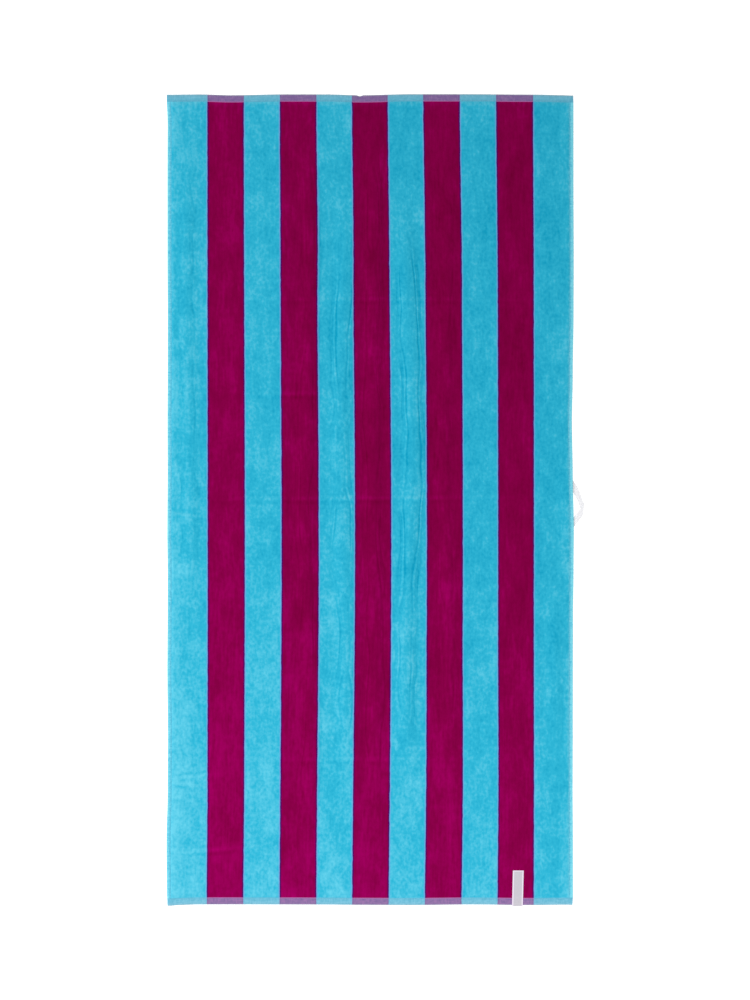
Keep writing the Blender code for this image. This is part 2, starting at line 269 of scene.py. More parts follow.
@dataclass
class ClothPlan:
    """The towel's flat sizes, and where each point of its cloth lies once it is laid out.

    A point is named by its place on the flat cloth: how far it is across and along from the middle.
    A ridge sways from side to side, swells and sinks along its crest, and fades out at its ends.
    A flank as steep as steep counts as a full lean. What pulls an edge in or out fades out within
    side_reach or end_reach of it.
    """

    width: float = 0.900
    length: float = 1.800
    stripe_width: float = 0.0803
    stripes_between_edges: int = 9
    side_hem: float = 0.009
    end_hem: float = 0.016
    pile_thickness: float = 0.0030
    hem_thickness: float = 0.0022
    pile_slope: float = 0.0015
    ripple_fade: float = 0.22
    sway_wavelength: float = 1.10
    swell_wavelength: float = 0.57
    swell_share: float = 0.22
    steep: float = 0.13
    side_reach: float = 0.085
    end_reach: float = 0.110
    nap_height: float = 0.00022
    nap_size: float = 0.009
    pucker_height: float = 0.00022
    pucker_size: float = 0.013
    seam_gap: float = 0.00035
    ground_gap: float = 0.00010
    tape_thickness: float = 0.0008
    label_thickness: float = 0.0005
    edge_share: float = 0.08
    fold_rows: tuple[float, ...] = (-1.2, -0.7, -0.35, 0.0, 0.35, 0.7, 1.2)
    fold_turn: float = 10.0
    tucks: tuple[Tuck, ...] = field(init=False)

    def __post_init__(self) -> None:
        """Works out the two places where the cloth rides over what is sewn beneath it."""
        loop = Tuck(
            across=self.half_width,
            along=-0.008,
            half_width=0.014,
            half_length=0.062,
            fade=0.030,
            height=self.ground_gap + self.tape_thickness + self.seam_gap,
        )
        label = Tuck(
            across=0.327,
            along=-self.half_length,
            half_width=0.0275,
            half_length=0.0195,
            fade=0.032,
            height=self.ground_gap + self.label_thickness + self.seam_gap,
        )
        self.tucks = (loop, label)

    @property
    def half_width(self) -> float:
        """Half the towel's width."""
        return self.width / 2

    @property
    def half_length(self) -> float:
        """Half the towel's length."""
        return self.length / 2

    @property
    def fold_radius(self) -> float:
        """Radius of the round fold at the towel's edge."""
        return self.hem_thickness / 2

    @property
    def borders(self) -> list[float]:
        """Where one stripe ends and the next begins, from left to right."""
        first = -self.stripes_between_edges * self.stripe_width / 2
        return [first + n * self.stripe_width for n in range(self.stripes_between_edges + 1)]

    @property
    def crosswise_folds(self) -> list[float]:
        """Places along the towel that a crosswise fold needs to show its round crest."""
        folds = [crease for crease in CREASES if abs(crease.turn) < self.fold_turn]
        return [fold.along + step * fold.half_width for fold in folds for step in self.fold_rows]

    def stripe_distance(self, across: float) -> float:
        """Distance from the nearest border between stripes, above 0 within a magenta stripe.

        Args:
            across: how far the place is from the middle, across the towel.

        Returns:
            The distance in metres, below 0 within a turquoise stripe.
        """
        stripe = math.floor(across / self.stripe_width + self.stripes_between_edges / 2)
        magenta = 0 <= stripe < self.stripes_between_edges and stripe % 2 == 0
        distance = min(abs(across - border) for border in self.borders)
        return distance if magenta else -distance

    def from_edge(self, across: float, along: float) -> float:
        """Distance from the nearest edge of the cloth."""
        return min(self.half_width - abs(across), self.half_length - abs(along))

    def on_hem(self, across: float, along: float, slack: float = 0.0) -> bool:
        """Whether a place is on one of the four hems, or within slack of them.

        Args:
            across: how far the place is from the middle, across the towel.
            along: the same along the towel.
            slack: how far beyond a hem still counts.

        Returns:
            Whether it is.
        """
        from_side = self.half_width - abs(across)
        from_end = self.half_length - abs(along)
        return from_side < self.side_hem + slack or from_end < self.end_hem + slack

    def ripple_lift(self, across: float, along: float) -> float:
        """How far the lengthwise ridges raise the cloth at one place.

        Args:
            across: how far the place is from the middle, across the towel.
            along: the same along the towel.

        Returns:
            The lift in metres.
        """
        lift = 0.0
        for ripple in RIPPLES:
            phase = 2.0 * math.pi * (along - ripple.low_end)
            crest = ripple.across + ripple.sway * math.sin(phase / self.sway_wavelength)
            middle = (ripple.low_end + ripple.top_end) / 2
            half_flat = (ripple.top_end - ripple.low_end) / 2 - self.ripple_fade
            strength = plateau(along - middle, max(0.0, half_flat), self.ripple_fade)
            strength *= 1.0 - self.swell_share * math.sin(phase / self.swell_wavelength) ** 2
            lift += ripple.height * strength * bell(across - crest, ripple.half_width)
        return lift

    def crease_lift(self, across: float, along: float) -> float:
        """How far the short creases raise or lower the cloth's face at one place.

        Args:
            across: how far the place is from the middle, across the towel.
            along: the same along the towel.

        Returns:
            The lift in metres, below 0 in a trough.
        """
        lift = 0.0
        for crease in CREASES:
            turn = math.radians(crease.turn)
            right, up = across - crease.across, along - crease.along
            on_line = right * math.cos(turn) + up * math.sin(turn)
            off_line = up * math.cos(turn) - right * math.sin(turn)
            lift += crease.height * bell(off_line, crease.half_width) * bell(on_line, crease.half_length)
        return lift

    def lift(self, across: float, along: float) -> float:
        """Height of the cloth's underside above the ground, but for the round fold at its edge.

        Args:
            across: how far the place is from the middle, across the towel.
            along: the same along the towel.

        Returns:
            The height in metres.
        """
        lift = self.ripple_lift(across, along)
        for tuck in self.tucks:
            sideways = plateau(across - tuck.across, tuck.half_width, tuck.fade)
            lengthwise = plateau(along - tuck.along, tuck.half_length, tuck.fade)
            lift = max(lift, tuck.height * sideways * lengthwise)
        return lift

    def thickness(self, across: float, along: float) -> float:
        """Thickness of the cloth over its pile or its flat hems."""
        on_hem = self.on_hem(across, along, slack=self.pile_slope / 2)
        return self.hem_thickness if on_hem else self.pile_thickness

    def flank(self, across: float, along: float) -> float:
        """How far the cloth leans at one place, from 0 where it is flat to 1 on a steep flank.

        Args:
            across: how far the place is from the middle, across the towel.
            along: the same along the towel.

        Returns:
            The lean, from 0 to 1.
        """
        step = 2 * MM
        climb = self.ripple_lift(across + step, along) - self.ripple_lift(across - step, along)
        return min(1.0, abs(climb) / (2 * step) / self.steep)

    def fold_share(self, across: float, along: float) -> float:
        """Share of the hem's thickness that is left in the round fold, so near to the edge."""
        inwards = 1.0 - min(1.0, self.from_edge(across, along) / self.fold_radius)
        return max(self.edge_share, math.sqrt(1.0 - inwards * inwards))

    def slide(self, across: float, along: float) -> Vector:
        """How far a point lies from where it would be if the towel lay dead straight.

        Args:
            across: how far the place is from the middle, across the towel.
            along: the same along the towel.

        Returns:
            The shift in metres, level with the ground.
        """
        shift_x = sum(
            slide.shift
            * bell(across - slide.across, slide.half_width)
            * bell(along - slide.along, slide.half_length)
            for slide in SLIDES
        )
        shift_x *= bell(max(0.0, abs(across) - self.half_width + self.side_reach), 2 * self.side_reach)
        shift_x += eased(SIDE_EDGES, along, "left") * bell(across + self.half_width, self.side_reach)
        shift_x += eased(SIDE_EDGES, along, "right") * bell(across - self.half_width, self.side_reach)
        shift_y = eased(END_EDGES, across, "top") * bell(along - self.half_length, self.end_reach)
        shift_y += eased(END_EDGES, across, "bottom") * bell(along + self.half_length, self.end_reach)
        for corner in CORNERS:
            right = self.half_width - corner.side * across
            up = self.half_length - corner.end * along
            nearness = bell(math.hypot(right, up), corner.reach)
            shift_x -= corner.side * corner.sideways * nearness
            shift_y -= corner.end * corner.lengthwise * nearness
        for nick in NICKS:
            up = self.half_length - nick.end * along
            pull = nick.depth * bell(across - nick.across, nick.half_width) * bell(up, nick.reach)
            shift_y -= nick.end * pull
        return Vector((shift_x, shift_y, 0.0))

    def ground(self, across: float, along: float) -> Vector:
        """The point on the ground under a place on the cloth."""
        return Vector((across, along, 0.0)) + self.slide(across, along) + CLOTH_CENTRE

    def nap(self, across: float, along: float) -> float:
        """Small unevenness of the face: crushed pile, and puckers along the sewn hems.

        Args:
            across: how far the place is from the middle, across the towel.
            along: the same along the towel.

        Returns:
            How far the face stands above its mean height.
        """
        if self.on_hem(across, along):
            spot = Vector((across, along, 0.0)) / self.pucker_size
            return self.pucker_height * noise.noise(spot)
        spot = Vector((across / self.nap_size, along / (2 * self.nap_size), 3.0))
        return self.nap_height * noise.noise(spot)

    def face(self, across: float, along: float) -> float:
        """Height of the cloth's face above the ground.

        Args:
            across: how far the place is from the middle, across the towel.
            along: the same along the towel.

        Returns:
            The height in metres.
        """
        middle = self.lift(across, along) + self.thickness(across, along) / 2
        half = self.thickness(across, along) / 2 * self.fold_share(across, along)
        return middle + half + self.crease_lift(across, along) + self.nap(across, along)

    def back(self, across: float, along: float) -> float:
        """Height of the cloth's back above the ground."""
        middle = self.lift(across, along) + self.thickness(across, along) / 2
        return middle - self.thickness(across, along) / 2 * self.fold_share(across, along)

    def on_face(self, across: float, along: float, above: float = 0.0) -> Vector:
        """The point at a height above the cloth's face at one place."""
        return self.ground(across, along) + Vector((0.0, 0.0, self.face(across, along) + above))


def linear(colour: str) -> tuple[float, float, float, float]:
    """Turns an sRGB hex colour, such as #30a0c0, to the linear values that a shader takes.

    Args:
        colour: the hex colour.

    Returns:
        Its linear red, green and blue, and 1 for its cover.
    """
    channels = [int(colour[start:start + 2], 16) / 255 for start in (1, 3, 5)]
    curve = [c / 12.92 if c <= 0.04045 else ((c + 0.055) / 1.055) ** 2.4 for c in channels]
    return (curve[0], curve[1], curve[2], 1.0)


def per_mm(size: float) -> float:
    """The scale at which a texture's cells are size millimetres across."""
    return 1000.0 / size


def add_node(
    tree: bpy.types.NodeTree,
    kind: str,
    inputs: dict[Any, Any] | None = None,
    stops: Sequence[tuple[float, tuple]] = (),
    **settings: Any,
) -> Any:
    """Adds a node with its settings, inputs and links.

    Args:
        tree: the node tree that gets the node.
        kind: the shader node's type, such as Math.
        inputs: socket names or numbers, each with a value or with another node's output.
        stops: places and colours along the node's colour ramp, where it has one.
        **settings: properties of the node itself, such as operation.

    Returns:
        The new node's outputs.
    """
    node = tree.nodes.new(f"ShaderNode{kind}")
    for name, value in settings.items():
        setattr(node, name, value)
    for socket, value in (inputs or {}).items():
        if isinstance(value, bpy.types.NodeSocket):
            tree.links.new(value, node.inputs[socket])
        else:
            node.inputs[socket].default_value = value
    for index, (place, colour) in enumerate(stops):
        elements = node.color_ramp.elements
        element = elements[index] if index < 2 else elements.new(place)
        element.position = place
        element.color = colour
    return node.outputs


def new_material(name: str, roughness: float, settings: dict[str, Any]) -> bpy.types.Material:
    """Makes an empty Principled material.

    Args:
        name: the material's name.
        roughness: its roughness, all over.
        settings: further sockets of its shader with their values.

    Returns:
        The material.
    """
    material = bpy.data.materials.new(name)
    material.use_nodes = True
    shader = material.node_tree.nodes["Principled BSDF"]
    shader.inputs["Roughness"].default_value = roughness
    for socket, value in settings.items():
        shader.inputs[socket].default_value = value
    return material


def finish_material(
    material: bpy.types.Material,
    colour: Any,
    height: Any,
    strength: float,
    depth: float,
    invert: bool = False,
) -> bpy.types.Material:
    """Links a material's colour to its shader, and its relief by way of a height.

    Args:
        material: the material, as new_material made it.
        colour: the output with its colour.
        height: the output with how high its surface stands.
        strength: how much of the relief shows.
        depth: the relief's depth in metres.
        invert: whether the height counts downwards.

    Returns:
        The finished material.
    """
    tree = material.node_tree
    relief = add_node(
        tree, "Bump", {"Height": height, "Strength": strength, "Distance": depth}, invert=invert
    )[0]
    shader = tree.nodes["Principled BSDF"]
    tree.links.new(colour, shader.inputs["Base Color"])
    tree.links.new(relief, shader.inputs["Normal"])
    return material


@dataclass(frozen=True)
class Unevenness:
    """One layer of a cloth's unevenness: soft patches of a size, longer along the cloth than across."""

    size_mm: float
    stretch: float
    weight: float
    detail: float = 2.0
    seed: float = 0.0

    def output(self, tree: bpy.types.NodeTree, uv: Any) -> Any:
        """Adds the patches to a material.

        Args:
            tree: the material's node tree.
            uv: the output that holds the place on the cloth, in metres.

        Returns:
            The output with the patches, from 0 to 1.
        """
        placed = add_node(
            tree,
            "Mapping",
            {
                "Vector": uv,
                "Location": (self.seed, self.seed, 0.0),
                "Scale": (1.0, 1.0 / self.stretch, 1.0),
            },
        )
        patches = add_node(
            tree,
            "TexNoise",
            {"Vector": placed[0], "Scale": per_mm(self.size_mm), "Detail": self.detail},
        )
        return patches[0]


def layered(tree: bpy.types.NodeTree, uv: Any, base: Any, layers: Sequence[Unevenness]) -> Any:
    """Adds layers of unevenness, each centred on 0 and weighted, to a base.

    Args:
        tree: the material's node tree.
        uv: the output that holds the place on the cloth.
        base: a number or an output that the layers are added to.
        layers: the layers.

    Returns:
        The output with the sum.
    """
    for layer in layers:
        centred = add_node(tree, "Math", {0: layer.output(tree, uv), 1: 0.5}, operation="SUBTRACT")[0]
        base = add_node(
            tree, "Math", {0: centred, 1: layer.weight, 2: base}, operation="MULTIPLY_ADD"
        )[0]
    return base


def within_magenta(tree: bpy.types.NodeTree) -> Any:
    """Adds an output that is 1 within a magenta stripe and 0 within a turquoise one."""
    stripe = add_node(tree, "Attribute", attribute_name=STRIPE_ATTRIBUTE)["Fac"]
    return add_node(tree, "Math", {0: stripe, 1: 0.0}, operation="GREATER_THAN")[0]


@dataclass(frozen=True)
class Dye:
    """The colours of one dyed yarn, where its pile lies away from the light, midway, and towards it."""

    dark: str
    middle: str
    light: str

    def stops(self) -> list[tuple[float, tuple]]:
        """The dye's colours as stops of a ramp."""
        return [(0.0, linear(self.dark)), (1.0, linear(self.light)), (0.5, linear(self.middle))]


TURQUOISE_PILE = Dye(dark="#0b8bac", middle="#2aa0bc", light="#59b6cc")
MAGENTA_PILE = Dye(dark="#600029", middle="#75003c", light="#900056")
TURQUOISE_FLAT = Dye(dark="#5f9bb1", middle="#69a4ba", light="#78aec3")
MAGENTA_FLAT = Dye(dark="#6e5686", middle="#78608c", light="#886594")
TURQUOISE_SELVEDGE = Dye(dark="#47a3bd", middle="#5ab2c8", light="#6fc0d0")


@dataclass(frozen=True)
class StripedCotton:
    """The part that all finishes of the cloth share: two dyes in lengthwise stripes.

    Where two stripes meet, the turquoise turns lavender and the magenta turns plum, because
    tufts of both dyes stand among each other there. Each stop of that tint has its place along
    the reach and the share of the tint that shows.
    """

    name: str
    turquoise: Dye
    magenta: Dye
    tint_strength: float
    lavender: str = "#6a87c0"
    plum: str = "#3a0858"
    widened_mm: float = 0.35
    softness_mm: float = 0.4
    reach_mm: float = 4.0
    lavender_stops: tuple[tuple[float, float], ...] = ((0.06, 0.0), (0.30, 0.55), (0.48, 1.0))
    plum_stops: tuple[tuple[float, float], ...] = ((0.52, 1.0), (0.78, 0.80), (0.98, 0.0))
    ragged: tuple[Unevenness, ...] = (
        Unevenness(size_mm=14.0, stretch=1.6, weight=2.2, seed=0.7),
        Unevenness(size_mm=3.0, stretch=1.5, weight=0.9, seed=3.3),
    )

    def colour(self, tree: bpy.types.NodeTree, uv: Any, turquoise_lean: Any, magenta_lean: Any) -> Any:
        """Adds the striped colour.

        Args:
            tree: the material's node tree.
            uv: the output that holds the place on the cloth.
            turquoise_lean: the output with the lean of the turquoise pile, from dark at 0 to light at 1.
            magenta_lean: the same for the magenta pile.

        Returns:
            The output with the colour.
        """
        stripe = add_node(tree, "Attribute", attribute_name=STRIPE_ATTRIBUTE)["Fac"]
        distance = layered(tree, uv, stripe, self.ragged)
        middle = -self.widened_mm
        in_magenta, spread = (
            add_node(
                tree,
                "MapRange",
                {"Value": distance, "From Min": middle - reach, "From Max": middle + reach},
                interpolation_type=course,
            )[0]
            for reach, course in ((self.softness_mm, "SMOOTHSTEP"), (self.reach_mm, "LINEAR"))
        )
        dyes = [
            add_node(tree, "ValToRGB", {"Fac": lean}, stops=dye.stops())[0]
            for dye, lean in ((self.turquoise, turquoise_lean), (self.magenta, magenta_lean))
        ]
        plain = add_node(tree, "Mix", {0: in_magenta, 6: dyes[0], 7: dyes[1]}, data_type="RGBA")[2]
        stops = [
            (place, (*linear(tone)[:3], share * self.tint_strength))
            for tone, column in ((self.lavender, self.lavender_stops), (self.plum, self.plum_stops))
            for place, share in column
        ]
        tint = add_node(tree, "ValToRGB", {"Fac": spread}, stops=stops)
        return add_node(tree, "Mix", {0: tint[1], 6: plain, 7: tint[0]}, data_type="RGBA")[2]


@dataclass(frozen=True)
class VelourPile:
    """Sheared cotton velour: matt, mottled where its cut pile leans this way and that.

    A lean of 1 is the usual difference between two patches. Painted light makes the pile lighter
    towards the left and the bottom of the towel. It is also paler next to its side hems and its top
    hem, and the right strip there is painted light over the shade where the pile steps down to the
    hem. Each crease gets a painted highlight on one flank and painted shade on the other. Its rows
    part on the flanks of the ridges, which gives fine lines there that follow their contours.
    """

    cotton: StripedCotton
    lean_range: float = 5.0
    lean_base: float = -0.68
    # Painted light: lighter towards the left and the bottom of the towel.
    painted_light_across: float = -1.9
    painted_light_low_start: float = 0.10
    painted_light_low_gain: float = 2.05
    edge_from: float = 0.416
    edge_to: float = 0.441
    edge_gain: float = 1.4
    # Painted light over the shade where the pile steps down to the right hem.
    right_edge_painted_light_from: float = 0.4365
    right_edge_painted_light_gain: float = 1.6
    top_edge_from: float = 0.873
    top_edge_to: float = 0.885
    top_edge_gain: float = 3.0
    turquoise_patches: tuple[Unevenness, ...] = (
        Unevenness(size_mm=6.5, stretch=1.2, weight=8.0, detail=2.0, seed=2.9),
        Unevenness(size_mm=5.5, stretch=5.0, weight=2.5, detail=1.0, seed=6.1),
        Unevenness(size_mm=20.0, stretch=1.7, weight=7.0, detail=3.0),
        Unevenness(size_mm=70.0, stretch=1.8, weight=6.8, detail=3.0, seed=8.3),
    )
    magenta_patches: tuple[Unevenness, ...] = (
        Unevenness(size_mm=7.5, stretch=1.6, weight=4.1, detail=2.0, seed=5.2),
        Unevenness(size_mm=5.5, stretch=9.0, weight=4.0, detail=1.0, seed=3.7),
        Unevenness(size_mm=24.0, stretch=2.2, weight=6.0, detail=3.0, seed=7.4),
        Unevenness(size_mm=60.0, stretch=3.0, weight=6.5, seed=1.9),
    )
    row_bends: Unevenness = Unevenness(size_mm=80.0, stretch=2.2, weight=7.0, detail=1.5, seed=4.1)
    row_places: Unevenness = Unevenness(size_mm=90.0, stretch=1.5, weight=3.0, detail=1.0, seed=7.7)
    row_share: float = 0.66
    row_climb_mm: float = 1.4
    row_from: float = 0.50
    row_to: float = 0.70
    row_depth: float = 3.6
    magenta_rows: float = 0.35
    # Painted highlight and painted shade on the two flanks of each crease.
    crease_painted_highlight: float = 2.2
    crease_painted_shade: float = 0.8

    def build(self) -> bpy.types.Material:
        """Makes the material.

        Returns:
            The finished material.
        """
        settings = {
            "Specular IOR Level": 0.0,
            "Sheen Weight": 0.08,
            "Sheen Roughness": 0.45,
            "Sheen Tint": linear("#c9b8e0"),
        }
        material = new_material(self.cotton.name, 0.95, settings)
        tree = material.node_tree
        uv = add_node(tree, "UVMap", uv_map=UV_NAME)[0]
        # Painted light from the broad gradient, the right edge strip and the crease flanks, with paler strips
        # by the hems.
        lean = self.add_crease_painted_light(tree, uv, self.lean_with_painted_light(tree, uv))
        lines = self.parted_rows(tree, uv)
        leans = []
        for patches, share in ((self.turquoise_patches, 1.0), (self.magenta_patches, self.magenta_rows)):
            parted = add_node(tree, "Math", {0: lines, 1: share, 2: lean}, operation="MULTIPLY_ADD")[0]
            leans.append(
                add_node(
                    tree,
                    "MapRange",
                    {
                        "Value": layered(tree, uv, parted, patches),
                        "From Min": -self.lean_range,
                        "From Max": self.lean_range,
                    },
                )[0]
            )
        colour = self.cotton.colour(tree, uv, *leans)
        return finish_material(material, colour, leans[0], strength=0.35, depth=2 * MM)

    def add_crease_painted_light(self, tree: bpy.types.NodeTree, uv: Any, lean: Any) -> Any:
        """Adds painted light at the creases: a painted highlight on one flank, painted shade on the other.

        Args:
            tree: the material's node tree.
            uv: the output that holds the place on the cloth.
            lean: the output with the lean of the pile.

        Returns:
            The output with the lean over the creases too.
        """
        for crease in CREASES:
            turn = math.radians(crease.turn)
            beside = Vector((-math.sin(turn), math.cos(turn))) * crease.half_width
            # A painted highlight on one flank and painted shade on the other.
            crest = crease.height / MM * self.crease_painted_highlight
            for side, weight in ((0.5, crest), (-0.5, -self.crease_painted_shade * crest)):
                unit = add_node(
                    tree,
                    "Mapping",
                    {
                        "Vector": uv,
                        "Location": (crease.across + side * beside.x, crease.along + side * beside.y, 0.0),
                        "Rotation": (0.0, 0.0, turn),
                        "Scale": (crease.half_length, crease.half_width, 1.0),
                    },
                    vector_type="TEXTURE",
                )[0]
                near = add_node(tree, "TexGradient", {"Vector": unit}, gradient_type="SPHERICAL")[1]
                lean = add_node(
                    tree, "Math", {0: near, 1: weight, 2: lean}, operation="MULTIPLY_ADD"
                )[0]
        return lean

    def lean_with_painted_light(self, tree: bpy.types.NodeTree, uv: Any) -> Any:
        """Adds painted light, lighter towards the left and bottom, and paler strips next to the hems.

        Args:
            tree: the material's node tree.
            uv: the output that holds the place on the cloth.

        Returns:
            The output with the lean and the painted light.
        """
        place = add_node(tree, "SeparateXYZ", {0: uv})
        # Painted light: lighter towards the left and towards the bottom.
        sideways = add_node(
            tree,
            "Math",
            {0: place[0], 1: self.painted_light_across, 2: self.lean_base},
            operation="MULTIPLY_ADD",
        )[0]
        below = add_node(tree, "Math", {0: self.painted_light_low_start, 1: place[1]}, operation="SUBTRACT")[0]
        low = add_node(tree, "Math", {0: below, 1: 0.0}, operation="MAXIMUM")[0]
        lean_and_painted_light = add_node(
            tree, "Math", {0: low, 1: self.painted_light_low_gain, 2: sideways}, operation="MULTIPLY_ADD"
        )[0]
        off_middle = add_node(tree, "Math", {0: place[0]}, operation="ABSOLUTE")[0]
        edges = (
            (off_middle, self.edge_from, self.edge_to, self.edge_gain),
            # The right strip is painted light over the shade of the step down to the hem.
            (place[0], self.right_edge_painted_light_from, self.edge_to, self.right_edge_painted_light_gain),
            (place[1], self.top_edge_from, self.top_edge_to, self.top_edge_gain),
        )
        for distance, start, full, gain in edges:
            climb = {"Value": distance, "From Min": start, "From Max": full, "To Max": gain}
            extra = add_node(tree, "MapRange", climb)[0]
            lean_and_painted_light = add_node(tree, "Math", {0: lean_and_painted_light, 1: extra}, operation="ADD")[0]
        return lean_and_painted_light

    def parted_rows(self, tree: bpy.types.NodeTree, uv: Any) -> Any:
        """Adds the lines where the rows of pile part on the flanks of the ridges.

        Args:
            tree: the material's node tree.
            uv: the output that holds the place on the cloth.

        Returns:
            The output with what the lines add to the lean.
        """
        rise = add_node(tree, "Attribute", attribute_name=RISE_ATTRIBUTE)["Fac"]
        contour = layered(tree, uv, rise, (self.row_bends,))
        rows = add_node(
            tree,
            "TexNoise",
            {"W": contour, "Scale": 1.0 / self.row_climb_mm, "Detail": 1.0},
            noise_dimensions="1D",
        )[0]
        lines = add_node(
            tree,
            "MapRange",
            {
                "Value": rows,
                "From Min": self.row_from,
                "From Max": self.row_to,
                "To Min": self.row_depth / 4,
                "To Max": -self.row_depth,
            },
            interpolation_type="SMOOTHSTEP",
        )[0]
        flank = add_node(tree, "Attribute", attribute_name=FLANK_ATTRIBUTE)["Fac"]
        parted = add_node(
            tree,
            "Math",
            {0: layered(tree, uv, self.row_share, (self.row_places,)), 1: flank},
            operation="MULTIPLY",
            use_clamp=True,
        )[0]
        return add_node(tree, "Math", {0: lines, 1: parted}, operation="MULTIPLY")[0]


@dataclass(frozen=True)
class TerryBack:
    """Uncut cotton terry: rows of short loops, duller than the face."""

    cotton: StripedCotton
    loop_mm: float = 2.4
    crown_lean: float = 0.75
    gap_shade: float = 0.7
    patches: tuple[Unevenness, ...] = (Unevenness(size_mm=14.0, stretch=1.5, weight=1.5, seed=1.7),)

    def build(self) -> bpy.types.Material:
        """Makes the material.

        Returns:
            The finished material.
        """
        settings = {"Specular IOR Level": 0.1, "Sheen Weight": 0.15, "Sheen Roughness": 0.6}
        material = new_material(self.cotton.name, 1.0, settings)
        tree = material.node_tree
        uv = add_node(tree, "UVMap", uv_map=UV_NAME)[0]
        loops = add_node(tree, "TexVoronoi", {"Vector": uv, "Scale": per_mm(self.loop_mm)})["Distance"]
        shaded = add_node(
            tree, "Math", {0: loops, 1: -self.gap_shade, 2: self.crown_lean}, operation="MULTIPLY_ADD"
        )[0]
        lean = layered(tree, uv, shaded, self.patches)
        colour = self.cotton.colour(tree, uv, lean, lean)
        return finish_material(material, colour, loops, strength=0.8, depth=1.2 * MM, invert=True)


@dataclass(frozen=True)
class FlatHem:
    """Flat woven cotton without pile: the pale weft shows between the dyed threads of the warp.

    The real threads are about 0.5 mm apart, too fine to show, so they are drawn as uneven ribs
    2.4 mm wide. Over the magenta, the last picks before the pile are pinker, and over the
    turquoise the hem takes on the pile's colour towards it. The side hems grow paler towards the
    edge, and all four get painted shade, a little greyer, at the round fold of the edge. Painted
    light makes the side hems lighter towards the right and the end hems lighter towards the bottom.
    """

    cotton: StripedCotton
    plan: ClothPlan
    base_lean: float = 0.5
    edge_gain: float = 0.0
    # Painted light: lean added per metre across and along the towel.
    painted_light_across_gain: float = 0.0
    painted_light_along_gain: float = 0.0
    inner: str = "#299fbb"
    inner_share: float = 0.20
    # Painted shade at the round fold of the edge.
    painted_edge_shade: str = "#8fa3a6"
    painted_edge_shade_from_mm: float = 3.0
    painted_edge_shade_share: float = 0.45
    pink: str = "#9a5e99"
    pink_from_mm: float = 1.2
    pink_to_mm: float = 2.4
    ribs: Unevenness = Unevenness(size_mm=2.4, stretch=5.0, weight=1.6, detail=1.0, seed=2.2)
    patches: tuple[Unevenness, ...] = (
        Unevenness(size_mm=8.0, stretch=0.6, weight=1.6, seed=5.5),
        Unevenness(size_mm=26.0, stretch=0.12, weight=1.4, seed=9.1),
    )

    def build(self) -> bpy.types.Material:
        """Makes the material.

        Returns:
            The finished material.
        """
        settings = {"Specular IOR Level": 0.1, "Sheen Weight": 0.05, "Sheen Roughness": 0.5}
        material = new_material(self.cotton.name, 0.9, settings)
        tree = material.node_tree
        uv = add_node(tree, "UVMap", uv_map=UV_NAME)[0]
        place = add_node(tree, "SeparateXYZ", {0: uv})
        from_middle = [
            add_node(tree, "Math", {0: place[axis]}, operation="ABSOLUTE")[0] for axis in (0, 1)
        ]
        paler = add_node(
            tree,
            "MapRange",
            {
                "Value": from_middle[0],
                "From Min": self.plan.half_width - self.plan.side_hem,
                "From Max": self.plan.half_width - self.plan.fold_radius,
                "To Min": self.base_lean - self.edge_gain,
                "To Max": self.base_lean + self.edge_gain,
            },
        )[0]
        # Painted light: a gradient across the towel for the side hems and along it for the end hems.
        for axis, gain in ((0, self.painted_light_across_gain), (1, self.painted_light_along_gain)):
            paler = add_node(
                tree, "Math", {0: place[axis], 1: gain, 2: paler}, operation="MULTIPLY_ADD"
            )[0]
        lean = layered(tree, uv, paler, (self.ribs, *self.patches))
        colour = self.cotton.colour(tree, uv, lean, lean)
        edge = self.plan.half_length
        pile_start = edge - self.plan.end_hem
        pinkest = pile_start + self.pink_from_mm * MM
        plain = pile_start + self.pink_to_mm * MM
        spans = (
            (plain, pinkest, 0.0, 1.0),
            (pile_start, edge, 2 * self.inner_share, 0.0),
            # Painted shade: greyer over the round fold at the edge.
            (edge - self.painted_edge_shade_from_mm * MM, edge, 0.0, self.painted_edge_shade_share),
        )
        last_picks, inwards, painted_edge_shade = (
            add_node(
                tree,
                "MapRange",
                {"Value": from_middle[1], "From Min": start, "From Max": full, "To Min": low, "To Max": high},
            )[0]
            for start, full, low, high in spans
        )
        in_magenta = within_magenta(tree)
        not_magenta = add_node(tree, "Math", {0: 1.0, 1: in_magenta}, operation="SUBTRACT")[0]
        pinker = add_node(tree, "Math", {0: last_picks, 1: in_magenta}, operation="MULTIPLY")[0]
        bluer = add_node(tree, "Math", {0: inwards, 1: not_magenta}, operation="MULTIPLY")[0]
        for share, tone in ((pinker, self.pink), (bluer, self.inner), (painted_edge_shade, self.painted_edge_shade)):
            colour = add_node(tree, "Mix", {0: share, 6: colour, 7: linear(tone)}, data_type="RGBA")[2]
        return finish_material(material, colour, lean, strength=0.4, depth=0.3 * MM)


def woven_ribs(tree: bpy.types.NodeTree, climb: Any, pitch_mm: float) -> Any:
    """Adds the ribs of a weave, a wave from -1 to 1 for each pitch along a climb in metres.

    Args:
        tree: the material's node tree.
        climb: the output with how far a point is across the ribs, in metres.
        pitch_mm: how far apart the ribs are.

    Returns:
        The output with the wave.
    """
    turns = {0: climb, 1: 2.0 * math.pi * per_mm(pitch_mm)}
    wave = add_node(tree, "Math", turns, operation="MULTIPLY")[0]
    return add_node(tree, "Math", {0: wave}, operation="SINE")[0]


